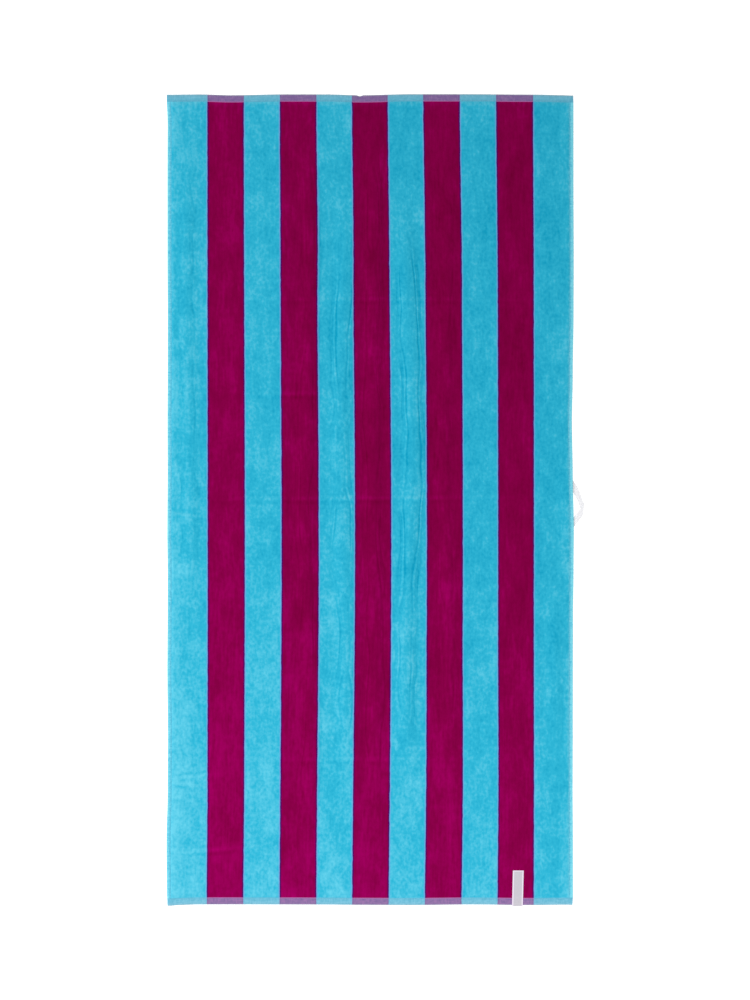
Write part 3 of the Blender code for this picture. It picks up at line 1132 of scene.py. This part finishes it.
@dataclass(frozen=True)
class CottonTape:
    """Bleached herringbone cotton tape: chevrons of twill along its length, matt, its grooves darkened with
    painted shade.
    """

    name: str = "bleached_herringbone_tape"
    thread: str = "#e1e1e4"
    # Painted shade in the grooves.
    groove_painted_shade: str = "#dadadd"
    rib_mm: float = 1.1
    chevron_mm: float = 3.3

    def build(self) -> bpy.types.Material:
        """Makes the material.

        Returns:
            The finished material.
        """
        settings = {"Specular IOR Level": 0.2, "Sheen Weight": 0.05}
        material = new_material(self.name, 0.85, settings)
        tree = material.node_tree
        uv = add_node(tree, "UVMap", uv_map=UV_NAME)[0]
        place = add_node(tree, "SeparateXYZ", {0: uv})
        chevron = add_node(
            tree, "Math", {0: place[0], 1: self.chevron_mm * MM}, operation="PINGPONG"
        )[0]
        climb = add_node(tree, "Math", {0: chevron, 1: place[1]}, operation="ADD")[0]
        ribs = woven_ribs(tree, climb, self.rib_mm)
        height = add_node(tree, "MapRange", {"Value": ribs, "From Min": -1.0, "From Max": 1.0})[0]
        # Painted shade: the grooves between the ribs are darker than the threads.
        colour = add_node(
            tree, "Mix", {0: height, 6: linear(self.groove_painted_shade), 7: linear(self.thread)}, data_type="RGBA"
        )[2]
        return finish_material(material, colour, height, strength=0.6, depth=0.2 * MM)


@dataclass(frozen=True)
class SatinRibbon:
    """White polyester satin: a smooth, softly shining middle, denser selvedges and a sealed end."""

    width: float
    length: float
    name: str = "white_satin_ribbon"
    shade: str = "#a8a5ad"
    middle: str = "#b2aeb6"
    selvedge: str = "#cfc4d3"
    selvedge_width: float = 0.0030
    sealed_end: float = 0.0020
    blend: float = 0.0004
    weft_mm: float = 0.9

    def build(self) -> bpy.types.Material:
        """Makes the material.

        Returns:
            The finished material.
        """
        settings = {"Specular IOR Level": 0.3, "Sheen Weight": 0.0}
        material = new_material(self.name, 0.45, settings)
        tree = material.node_tree
        uv = add_node(tree, "UVMap", uv_map=UV_NAME)[0]
        place = add_node(tree, "SeparateXYZ", {0: uv})
        from_middle = add_node(tree, "Math", {0: place[0]}, operation="ABSOLUTE")[0]
        inner = self.width / 2 - self.selvedge_width
        on_selvedge = add_node(
            tree, "MapRange", {"Value": from_middle, "From Min": inner, "From Max": inner + self.blend}
        )[0]
        on_end = add_node(
            tree,
            "MapRange",
            {
                "Value": place[1],
                "From Min": self.length - self.sealed_end - self.blend,
                "From Max": self.length - self.sealed_end,
            },
        )[0]
        dense = add_node(tree, "Math", {0: on_selvedge, 1: on_end}, operation="MAXIMUM")[0]
        uneven = Unevenness(size_mm=5.0, stretch=0.5, weight=1.0, seed=6.6).output(tree, uv)
        satin = add_node(
            tree, "Mix", {0: uneven, 6: linear(self.shade), 7: linear(self.middle)}, data_type="RGBA"
        )[2]
        colour = add_node(
            tree, "Mix", {0: dense, 6: satin, 7: linear(self.selvedge)}, data_type="RGBA"
        )[2]
        weft = woven_ribs(tree, place[1], self.weft_mm)
        return finish_material(material, colour, weft, strength=0.25, depth=0.1 * MM)


@dataclass(frozen=True)
class SewingThread:
    """Spun polyester thread: two plies twisted together, with a slight shine.

    It has sunk into the cloth, and takes on the colour of the stripe around it.
    """

    name: str
    over_turquoise: str
    over_magenta: str
    ply_mm: float = 1.2

    def build(self) -> bpy.types.Material:
        """Makes the material.

        Returns:
            The finished material.
        """
        settings = {"Specular IOR Level": 0.3, "Sheen Weight": 0.1}
        material = new_material(self.name, 0.6, settings)
        tree = material.node_tree
        in_magenta = within_magenta(tree)
        colour = add_node(
            tree,
            "Mix",
            {0: in_magenta, 6: linear(self.over_turquoise), 7: linear(self.over_magenta)},
            data_type="RGBA",
        )[2]
        place = add_node(tree, "TexCoord")["Object"]
        plies = add_node(
            tree, "TexNoise", {"Vector": place, "Scale": per_mm(self.ply_mm), "Detail": 1.0}
        )[0]
        return finish_material(material, colour, plies, strength=0.5, depth=0.1 * MM)


def new_sheet(
    name: str,
    columns: Sequence[float],
    rows: Sequence[float],
    place: Callable[[float, float], Vector],
) -> tuple[bpy.types.Object, list[tuple[float, float]]]:
    """Makes a grid with a vertex at each column and row, laid where a function says.

    Args:
        name: the piece's name.
        columns: places across the flat sheet.
        rows: places along the flat sheet.
        place: gives the point in the frame for a column and a row.

    Returns:
        The sheet, with its flat size in its UV map, and each vertex's column and row.
    """
    bpy.ops.object.select_all(action="DESELECT")
    spans_across, spans_along = len(columns) - 1, len(rows) - 1
    bpy.ops.mesh.primitive_grid_add(x_subdivisions=spans_across, y_subdivisions=spans_along, size=2)
    sheet = bpy.context.active_object
    sheet.name = sheet.data.name = name
    lattice = []
    for vertex in sheet.data.vertices:
        column = columns[round((vertex.co.x + 1) / 2 * spans_across)]
        row = rows[round((vertex.co.y + 1) / 2 * spans_along)]
        lattice.append((column, row))
        vertex.co = place(column, row)
    layer = sheet.data.uv_layers[0]
    layer.name = UV_NAME
    for loop in sheet.data.loops:
        layer.data[loop.index].uv = lattice[loop.vertex_index]
    return sheet, lattice


def apply_modifier(piece: bpy.types.Object, kind: str, **settings: Any) -> None:
    """Adds a modifier with its settings to a piece and applies it.

    Args:
        piece: the piece that is shaped.
        kind: the modifier's type, such as BEVEL.
        **settings: properties of the modifier.
    """
    modifier = piece.modifiers.new("Shape", kind)
    for name, value in settings.items():
        setattr(modifier, name, value)
    bpy.context.view_layer.objects.active = piece
    bpy.ops.object.modifier_apply(modifier=modifier.name)


def shade_smooth(mesh: bpy.types.Mesh) -> None:
    """Shades all the faces of a mesh smooth."""
    for polygon in mesh.polygons:
        polygon.use_smooth = True


def finish_strip(
    strip: bpy.types.Object, thickness: float, rounding: float, finish: bpy.types.Material
) -> None:
    """Gives a flat strip its thickness, its rounded edges and its material.

    Args:
        strip: the strip, as new_sheet made it.
        thickness: how thick it becomes, half to each side.
        rounding: how far its edges are rounded.
        finish: its material.
    """
    apply_modifier(strip, "SOLIDIFY", thickness=thickness, offset=0.0, use_even_offset=True)
    apply_modifier(strip, "BEVEL", width=rounding, segments=2, limit_method="ANGLE")
    strip.data.materials.append(finish)
    shade_smooth(strip.data)


class ClothSide(Enum):
    """The four surfaces of the towel's cloth, and the material slot of each."""

    FACE = 0
    BACK = 1
    END_HEM = 2
    SIDE_HEM = 3


@dataclass
class TowelCloth:
    """The towel's cloth: a sheet with striped pile, a looped back and flat hems."""

    plan: ClothPlan
    name: str = "velour_cloth"
    pitch_across: float = 0.0048
    pitch_along: float = 0.0105
    fold_steps: tuple[float, ...] = (0.0, 0.06, 0.22, 0.55, 1.0)
    nick_steps: tuple[float, ...] = (-1.0, -0.5, 0.0, 0.5, 1.0)

    def stations(self, half_size: float, hem: float) -> list[float]:
        """Places where the fold, the hem and the pile begin on both sides, the outermost first.

        Args:
            half_size: how far the edge is from the towel's middle.
            hem: how wide the hem is there.

        Returns:
            The places, in metres from the middle.
        """
        inwards = [step * self.plan.fold_radius for step in self.fold_steps]
        inwards += [hem, hem + self.plan.pile_slope]
        return [sign * (half_size - step) for step in inwards for sign in (-1, 1)]

    def build(self) -> bpy.types.Object:
        """Makes the sheet.

        Returns:
            The finished piece.
        """
        plan = self.plan
        columns = self.stations(plan.half_width, plan.side_hem) + plan.borders
        columns += [nick.across + nick.half_width * step for nick in NICKS for step in self.nick_steps]
        rows = self.stations(plan.half_length, plan.end_hem) + plan.crosswise_folds
        cloth, lattice = new_sheet(
            self.name,
            divided(columns, self.pitch_across),
            divided(rows, self.pitch_along),
            plan.on_face,
        )
        apply_modifier(cloth, "SOLIDIFY", thickness=plan.pile_thickness, offset=-1.0)
        self.lay_back(cloth, lattice)
        self.mark_stripes(cloth, lattice)
        self.dress(cloth, lattice)
        shade_smooth(cloth.data)
        return cloth

    def lay_back(self, cloth: bpy.types.Object, lattice: Sequence[tuple[float, float]]) -> None:
        """Lays the sheet's two sides where the plan has the cloth's face and its back.

        Args:
            cloth: the thickened sheet.
            lattice: the place on the flat cloth of each vertex of one side.
        """
        count = len(lattice)
        for index, (across, along) in enumerate(lattice):
            pair = (cloth.data.vertices[index], cloth.data.vertices[index + count])
            face, back = sorted(pair, key=lambda vertex: -vertex.co.z)
            face.co = self.plan.on_face(across, along)
            back.co = self.plan.ground(across, along)
            back.co.z = self.plan.back(across, along)

    def mark_stripes(self, cloth: bpy.types.Object, lattice: Sequence[tuple[float, float]]) -> None:
        """Writes what the finishes need to know at each vertex.

        That is how far it is from a stripe border and how far a ridge raises it, both in mm, and
        how steeply it leans.

        Args:
            cloth: the thickened sheet.
            lattice: the place on the flat cloth of each vertex of one side.
        """
        readings = {
            STRIPE_ATTRIBUTE: lambda across, along: self.plan.stripe_distance(across) / MM,
            RISE_ATTRIBUTE: lambda across, along: self.plan.ripple_lift(across, along) / MM,
            FLANK_ATTRIBUTE: self.plan.flank,
        }
        sides = len(cloth.data.vertices) // len(lattice)
        for name, reading in readings.items():
            attribute = cloth.data.attributes.new(name, "FLOAT", "POINT")
            attribute.data.foreach_set("value", [reading(*place) for place in lattice] * sides)

    def dress(self, cloth: bpy.types.Object, lattice: Sequence[tuple[float, float]]) -> None:
        """Gives the face, the back and the hems their materials.

        Args:
            cloth: the thickened sheet.
            lattice: the place on the flat cloth of each vertex of one side.
        """
        plan = self.plan
        pile = StripedCotton("striped_cotton_velour", TURQUOISE_PILE, MAGENTA_PILE, tint_strength=1.0)
        loops = StripedCotton("striped_cotton_terry", TURQUOISE_PILE, MAGENTA_PILE, tint_strength=0.3)
        flat = StripedCotton(
            name="striped_flat_weave",
            turquoise=TURQUOISE_FLAT,
            magenta=MAGENTA_FLAT,
            lavender="#7d93bb",
            plum="#5d4f80",
            tint_strength=0.4,
        )
        selvedge = StripedCotton(
            name="turquoise_flat_selvedge",
            turquoise=TURQUOISE_SELVEDGE,
            magenta=MAGENTA_FLAT,
            tint_strength=0.0,
        )
        finishes = {
            ClothSide.FACE: VelourPile(pile),
            ClothSide.BACK: TerryBack(loops),
            # The hems' gains are painted light: the end hems lighter towards the bottom, the side hems
            # towards the right.
            ClothSide.END_HEM: FlatHem(flat, plan, base_lean=0.44, painted_light_along_gain=-0.2),
            ClothSide.SIDE_HEM: FlatHem(
                selvedge, plan, base_lean=0.58, edge_gain=0.5, painted_light_across_gain=0.3, inner_share=0.0
            ),
        }
        for side in ClothSide:
            cloth.data.materials.append(finishes[side].build())
        for polygon in cloth.data.polygons:
            places = [lattice[index % len(lattice)] for index in polygon.vertices]
            across = sum(place[0] for place in places) / len(places)
            along = sum(place[1] for place in places) / len(places)
            if plan.half_length - abs(along) < plan.end_hem:
                side = ClothSide.END_HEM
            elif plan.half_width - abs(across) < plan.side_hem:
                side = ClothSide.SIDE_HEM
            else:
                side = ClothSide.FACE if polygon.normal.z > 0 else ClothSide.BACK
            polygon.material_index = side.value


class HemRun(NamedTuple):
    """A straight row of stitches on the flat cloth, from one place to another."""

    start: tuple[float, float]
    end: tuple[float, float]


class HemPair(Enum):
    """The two pairs of hems, which are sewn one after the other, each with its thread."""

    SIDES = ("side_hem_stitches", SewingThread("turquoise_sewing_thread", "#55afc8", "#8e5490"))
    ENDS = ("end_hem_stitches", SewingThread("pink_sewing_thread", "#5cb2ca", "#a3649c"))

    @property
    def label(self) -> str:
        """The name of the pair's piece."""
        return self.value[0]

    @property
    def thread(self) -> SewingThread:
        """The finish of the pair's thread."""
        return self.value[1]


@dataclass
class HemStitches:
    """The lockstitches that close one pair of hems, each a small bar of thread on the face."""

    plan: ClothPlan
    pair: HemPair
    pitch: float = 0.0030
    stitch_length: float = 0.0025
    stitch_width: float = 0.00055
    stitch_height: float = 0.00045
    from_pile: float = 0.0014
    sunk: float = 0.00008
    stray: float = 0.00012

    def runs(self) -> list[HemRun]:
        """The two rows of stitches of this pair of hems.

        Returns:
            The rows, each from its first stitch to its last.
        """
        plan = self.plan
        side = plan.half_width - plan.side_hem + self.from_pile
        end = plan.half_length - plan.end_hem + self.from_pile
        if self.pair is HemPair.SIDES:
            return [HemRun((sign * side, -end), (sign * side, end)) for sign in (-1, 1)]
        reach = plan.half_width - plan.fold_radius - self.stitch_length
        return [HemRun((-reach, sign * end), (reach, sign * end)) for sign in (-1, 1)]

    def one_stitch(self) -> bpy.types.Mesh:
        """Models one stitch at the origin, lying along X.

        Returns:
            The stitch's mesh, without an object.
        """
        bpy.ops.object.select_all(action="DESELECT")
        bpy.ops.mesh.primitive_uv_sphere_add(segments=6, ring_count=4, radius=0.5)
        stitch = bpy.context.active_object
        bpy.ops.object.mode_set(mode="EDIT")
        bpy.ops.mesh.select_all(action="SELECT")
        quarter = math.radians(90)
        bpy.ops.transform.rotate(value=quarter, orient_axis="Y", center_override=(0.0, 0.0, 0.0))
        size = (self.stitch_length, self.stitch_width, self.stitch_height)
        bpy.ops.transform.resize(value=size, center_override=(0.0, 0.0, 0.0))
        bpy.ops.object.mode_set(mode="OBJECT")
        mesh = stitch.data
        bpy.data.objects.remove(stitch)
        return mesh

    def build(self) -> bpy.types.Object:
        """Sets the stitches along both hems.

        Returns:
            The finished piece, all its stitches in one mesh.
        """
        pattern = self.one_stitch()
        chance = random.Random(self.pair.label)
        joined = bmesh.new()
        distances: list[float] = []
        for run in self.runs():
            start, end = Vector(run.start), Vector(run.end)
            count = int((end - start).length / self.pitch)
            for number in range(count):
                middle = start.lerp(end, (number + 0.5) / count)
                ahead = start.lerp(end, (number + 1.0) / count)
                spot = self.plan.on_face(*middle, above=self.stitch_height / 2 - self.sunk)
                way = self.plan.on_face(*ahead, above=self.stitch_height / 2 - self.sunk) - spot
                spot.x += chance.uniform(-self.stray, self.stray)
                spot.y += chance.uniform(-self.stray, self.stray)
                turn = way.to_track_quat("X", "Z").to_matrix().to_4x4()
                copy = pattern.copy()
                copy.transform(Matrix.Translation(spot) @ turn)
                joined.from_mesh(copy)
                bpy.data.meshes.remove(copy)
                distances += [self.plan.stripe_distance(middle.x) / MM] * len(pattern.vertices)
        mesh = bpy.data.meshes.new(self.pair.label)
        joined.to_mesh(mesh)
        joined.free()
        stripe = mesh.attributes.new(STRIPE_ATTRIBUTE, "FLOAT", "POINT")
        stripe.data.foreach_set("value", distances)
        mesh.materials.append(self.pair.thread.build())
        shade_smooth(mesh)
        piece = bpy.data.objects.new(self.pair.label, mesh)
        bpy.context.scene.collection.objects.link(piece)
        return piece


@dataclass
class HangingLoop:
    """The hanging loop: a straight tape folded over along one crease, its ends under the hem."""

    plan: ClothPlan
    name: str = "herringbone_tape_loop"
    width: float = 0.013
    top_end_y: float = 0.0285
    low_end_y: float = -0.0475
    tip_reach: float = 0.0232
    tip_y: float = -0.0190
    bow: float = 0.0024
    tuck: float = 0.0085
    turning_reach: float = 2.2
    landing_reach: float = 0.52
    pitch: float = 0.0010
    bend_steps: int = 12
    columns: int = 8
    rounding: float = 0.00022

    def __post_init__(self) -> None:
        """Works out the crease from the tip and from where both legs meet the towel's edge."""
        edge = self.plan.half_width
        top_end = Vector((edge + self.plan.slide(edge, self.top_end_y).x, self.top_end_y))
        low_end = Vector((edge + self.plan.slide(edge, self.low_end_y).x, self.low_end_y))
        self.tip = Vector((edge + self.tip_reach, self.tip_y))
        self.first_leg = (self.tip - top_end).normalized()
        second_leg = (low_end - self.tip).normalized()
        self.side = self.first_leg.orthogonal()
        self.crease = (self.first_leg + second_leg).normalized()
        self.outward = self.crease.orthogonal()
        if self.outward.dot(self.first_leg) < 0:
            self.outward.negate()
        self.radius = (self.plan.tape_thickness + self.plan.seam_gap) / 2
        self.start = -(self.tip - top_end).length - self.tuck / self.first_leg.x
        self.end = (low_end - self.tip).length - self.tuck / second_leg.x
        self.overlap = self.width / 2 / self.outward.dot(self.first_leg)
        self.skew = -self.outward.dot(self.side) / self.outward.dot(self.first_leg)

    def rows(self) -> list[float]:
        """Distances along the tape from its crease, close together where it turns over.

        Returns:
            The distances in order, below 0 on the upper leg.
        """
        turn = math.pi * self.radius / self.outward.dot(self.first_leg)
        bend = [turn * n / self.bend_steps for n in range(self.bend_steps + 1)]
        return divided([self.start, *bend, self.end], self.pitch)

    def place(self, across: float, along: float) -> Vector:
        """Where a point of the tape lies, once it is folded at the crease and laid down.

        Args:
            across: how far the point is from the tape's middle line.
            along: how far it is along the tape from the crease, below 0 on the upper leg.

        Returns:
            The point in the frame.
        """
        leg = self.start if along < 0 else self.end
        bow = self.bow * bell(along / self.start - 0.5, 0.5)
        turning = self.turning_reach * self.overlap
        landing = self.landing_reach * self.overlap
        square = min(1.0, max(0.0, abs(along) - turning) / (abs(leg) - turning))
        along += self.skew * across * (1.0 - square)
        flat = along * self.first_leg + across * self.side
        beyond = flat.dot(self.outward)
        half_turn = math.pi * self.radius
        if beyond <= 0:
            outward, height = beyond, 0.0
        elif beyond < half_turn:
            angle = beyond / self.radius
            outward, height = self.radius * math.sin(angle), self.radius * (1.0 - math.cos(angle))
        else:
            outward = half_turn - beyond
            height = 2 * self.radius * plateau(beyond - half_turn, self.overlap, landing)
        spot = self.tip + flat.dot(self.crease) * self.crease + outward * self.outward
        spot += bow * self.side
        middle = self.plan.ground_gap + self.plan.tape_thickness / 2
        return Vector((spot.x, spot.y, middle + height)) + CLOTH_CENTRE

    def build(self) -> bpy.types.Object:
        """Makes the tape.

        Returns:
            The finished piece.
        """
        half = self.width / 2
        columns = [-half + self.width * n / self.columns for n in range(self.columns + 1)]
        loop, _ = new_sheet(self.name, columns, self.rows(), self.place)
        finish_strip(loop, self.plan.tape_thickness, self.rounding, CottonTape().build())
        return loop


@dataclass
class RibbonLabel:
    """The ribbon label, left bare: sewn under the bottom hem, brought round it, laid on the face."""

    plan: ClothPlan
    name: str = "satin_ribbon_label"
    width: float = 0.0240
    across: float = 0.3270
    lean: float = 0.0255
    top_end_y: float = -0.8230
    root: float = 0.0085
    root_steps: tuple[float, ...] = (1.0, 0.66, 0.33)
    edge_slack: float = 0.0006
    fold_steps: int = 14
    pitch: float = 0.0016
    pitch_across: float = 0.0030
    selvedge: float = 0.0012
    rounding: float = 0.00014
    cut_length: float = field(init=False, default=0.0)

    def profile(self) -> list[tuple[float, float]]:
        """The label's run: distances above the bottom edge, each with a height above the ground.

        Returns:
            The run's points, from the root under the hem to the end on the face.
        """
        plan = self.plan
        under = plan.ground_gap + plan.label_thickness / 2
        clear = plan.seam_gap + plan.label_thickness / 2
        hem_top = plan.tucks[1].height + plan.hem_thickness + clear
        radius = (hem_top - under) / 2
        run = [(self.root * share, under) for share in self.root_steps]
        for step in range(self.fold_steps + 1):
            angle = math.pi * step / self.fold_steps
            height = under + radius * (1 - math.cos(angle))
            run.append((-self.edge_slack - radius * math.sin(angle), height))
        stations = [plan.fold_radius, plan.end_hem, plan.end_hem + plan.pile_slope]
        stations.append(self.top_end_y + plan.half_length)
        for above in divided(stations, self.pitch):
            along = above - plan.half_length
            height = plan.lift(self.across, along) + plan.thickness(self.across, along) + clear
            run.append((above, height))
        return run

    def build(self) -> bpy.types.Object:
        """Makes the label.

        Returns:
            The finished piece.
        """
        run = self.profile()
        edge_shift = self.plan.slide(self.across, -self.plan.half_length).y

        def place(across: float, station: float) -> Vector:
            """Where a point of the ribbon lies.

            Args:
                across: how far the point is from the ribbon's middle line.
                station: the number of its point on the run.

            Returns:
                The point in the frame.
            """
            above, height = run[int(station)]
            spot = Vector((self.across + across + self.lean * above, above - self.plan.half_length, height))
            return spot + Vector((0.0, edge_shift, 0.0)) + CLOTH_CENTRE

        half = self.width / 2
        edges = [-half, -half + self.selvedge, half - self.selvedge, half]
        columns = divided(edges, self.pitch_across)
        label, lattice = new_sheet(self.name, columns, list(range(len(run))), place)
        travelled = [0.0]
        for (above, height), (next_above, next_height) in zip(run, run[1:]):
            travelled.append(travelled[-1] + math.hypot(next_above - above, next_height - height))
        layer = label.data.uv_layers[UV_NAME]
        for loop in label.data.loops:
            column, station = lattice[loop.vertex_index]
            layer.data[loop.index].uv = (column, travelled[int(station)])
        self.cut_length = travelled[-1]
        satin = SatinRibbon(self.width, self.cut_length).build()
        finish_strip(label, self.plan.label_thickness, self.rounding, satin)
        return label


class Softbox(NamedTuple):
    """A large soft lamp that is aimed at the middle of the towel."""

    name: str
    place: tuple[float, float, float]
    size: float
    watts: float


@dataclass
class Studio:
    """The plain white floor, the soft light, and the camera straight above the towel."""

    floor_size: float = 30.0
    floor_drop: float = 0.0002
    frame_height: float = 2.2218
    lens: float = 135.0
    camera_centre: tuple[float, float] = (-0.0008, 0.0007)
    sky_strength: float = 0.59
    softboxes: tuple[Softbox, ...] = (
        Softbox(name="front_softbox", place=(0.8, -2.0, 2.8), size=1.8, watts=63.5),
        Softbox(name="left_softbox", place=(-3.9, 0.3, 2.4), size=2.2, watts=160.0),
    )
    floor_glow: float = 0.35

    def build(self) -> None:
        """Adds the floor, the light and the camera."""
        self.add_floor()
        self.add_light()
        self.add_camera()

    def add_floor(self) -> None:
        """Adds a white floor that glows a little, as a lit sheet of paper would."""
        bpy.ops.object.select_all(action="DESELECT")
        bpy.ops.mesh.primitive_plane_add(size=self.floor_size, location=(0.0, 0.0, -self.floor_drop))
        floor = bpy.context.active_object
        floor.name = "floor"
        settings = {
            "Base Color": linear("#f0f0f0"),
            "Specular IOR Level": 0.0,
            "Emission Color": linear("#ffffff"),
            "Emission Strength": self.floor_glow,
        }
        material = new_material("white_studio_paper", 1.0, settings)
        floor.data.materials.append(material)

    def add_light(self) -> None:
        """Adds an even white sky and the softboxes."""
        scene = bpy.context.scene
        world = bpy.data.worlds.new("white_sky")
        world.use_nodes = True
        background = world.node_tree.nodes["Background"]
        background.inputs["Color"].default_value = (1.0, 1.0, 1.0, 1.0)
        background.inputs["Strength"].default_value = self.sky_strength
        scene.world = world
        for softbox in self.softboxes:
            lamp_data = bpy.data.lights.new(softbox.name, "AREA")
            lamp_data.shape = "SQUARE"
            lamp_data.size = softbox.size
            lamp_data.energy = softbox.watts
            lamp = bpy.data.objects.new(softbox.name, lamp_data)
            lamp.location = softbox.place
            lamp.rotation_euler = Vector(softbox.place).to_track_quat("Z", "Y").to_euler()
            scene.collection.objects.link(lamp)

    def add_camera(self) -> None:
        """Adds a camera with a long lens straight above the towel."""
        scene = bpy.context.scene
        camera_data = bpy.data.cameras.new("camera")
        camera_data.lens = self.lens
        camera = bpy.data.objects.new("camera", camera_data)
        distance = self.frame_height / 2 * self.lens / (camera_data.sensor_width / 2)
        camera.location = (*self.camera_centre, distance)
        scene.collection.objects.link(camera)
        scene.camera = camera
        scene.view_settings.view_transform = "Standard"


def main() -> None:
    """Builds the towel's pieces and the studio, and ties each piece to the frame."""
    logging.basicConfig(level=logging.INFO, format="%(message)s", force=True)
    log = logging.getLogger("towel")
    plan = ClothPlan()

    cloth = TowelCloth(plan).build()
    side_stitches = HemStitches(plan, HemPair.SIDES).build()
    end_stitches = HemStitches(plan, HemPair.ENDS).build()
    tape = HangingLoop(plan)
    loop = tape.build()
    ribbon = RibbonLabel(plan)
    label = ribbon.build()

    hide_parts("towel_cloth")
    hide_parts("hanging_loop")
    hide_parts("ribbon_label")
    slots = {
        cloth: "striped_velour",
        side_stitches: "striped_velour",
        end_stitches: "striped_velour",
        loop: "cotton_tape",
        label: "satin_ribbon",
    }
    for piece, slot in slots.items():
        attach(piece, BODY)
        log.info("%s: %d faces", piece.name, len(piece.data.polygons))

    Studio().build()


if __name__ == "__main__":
    main()
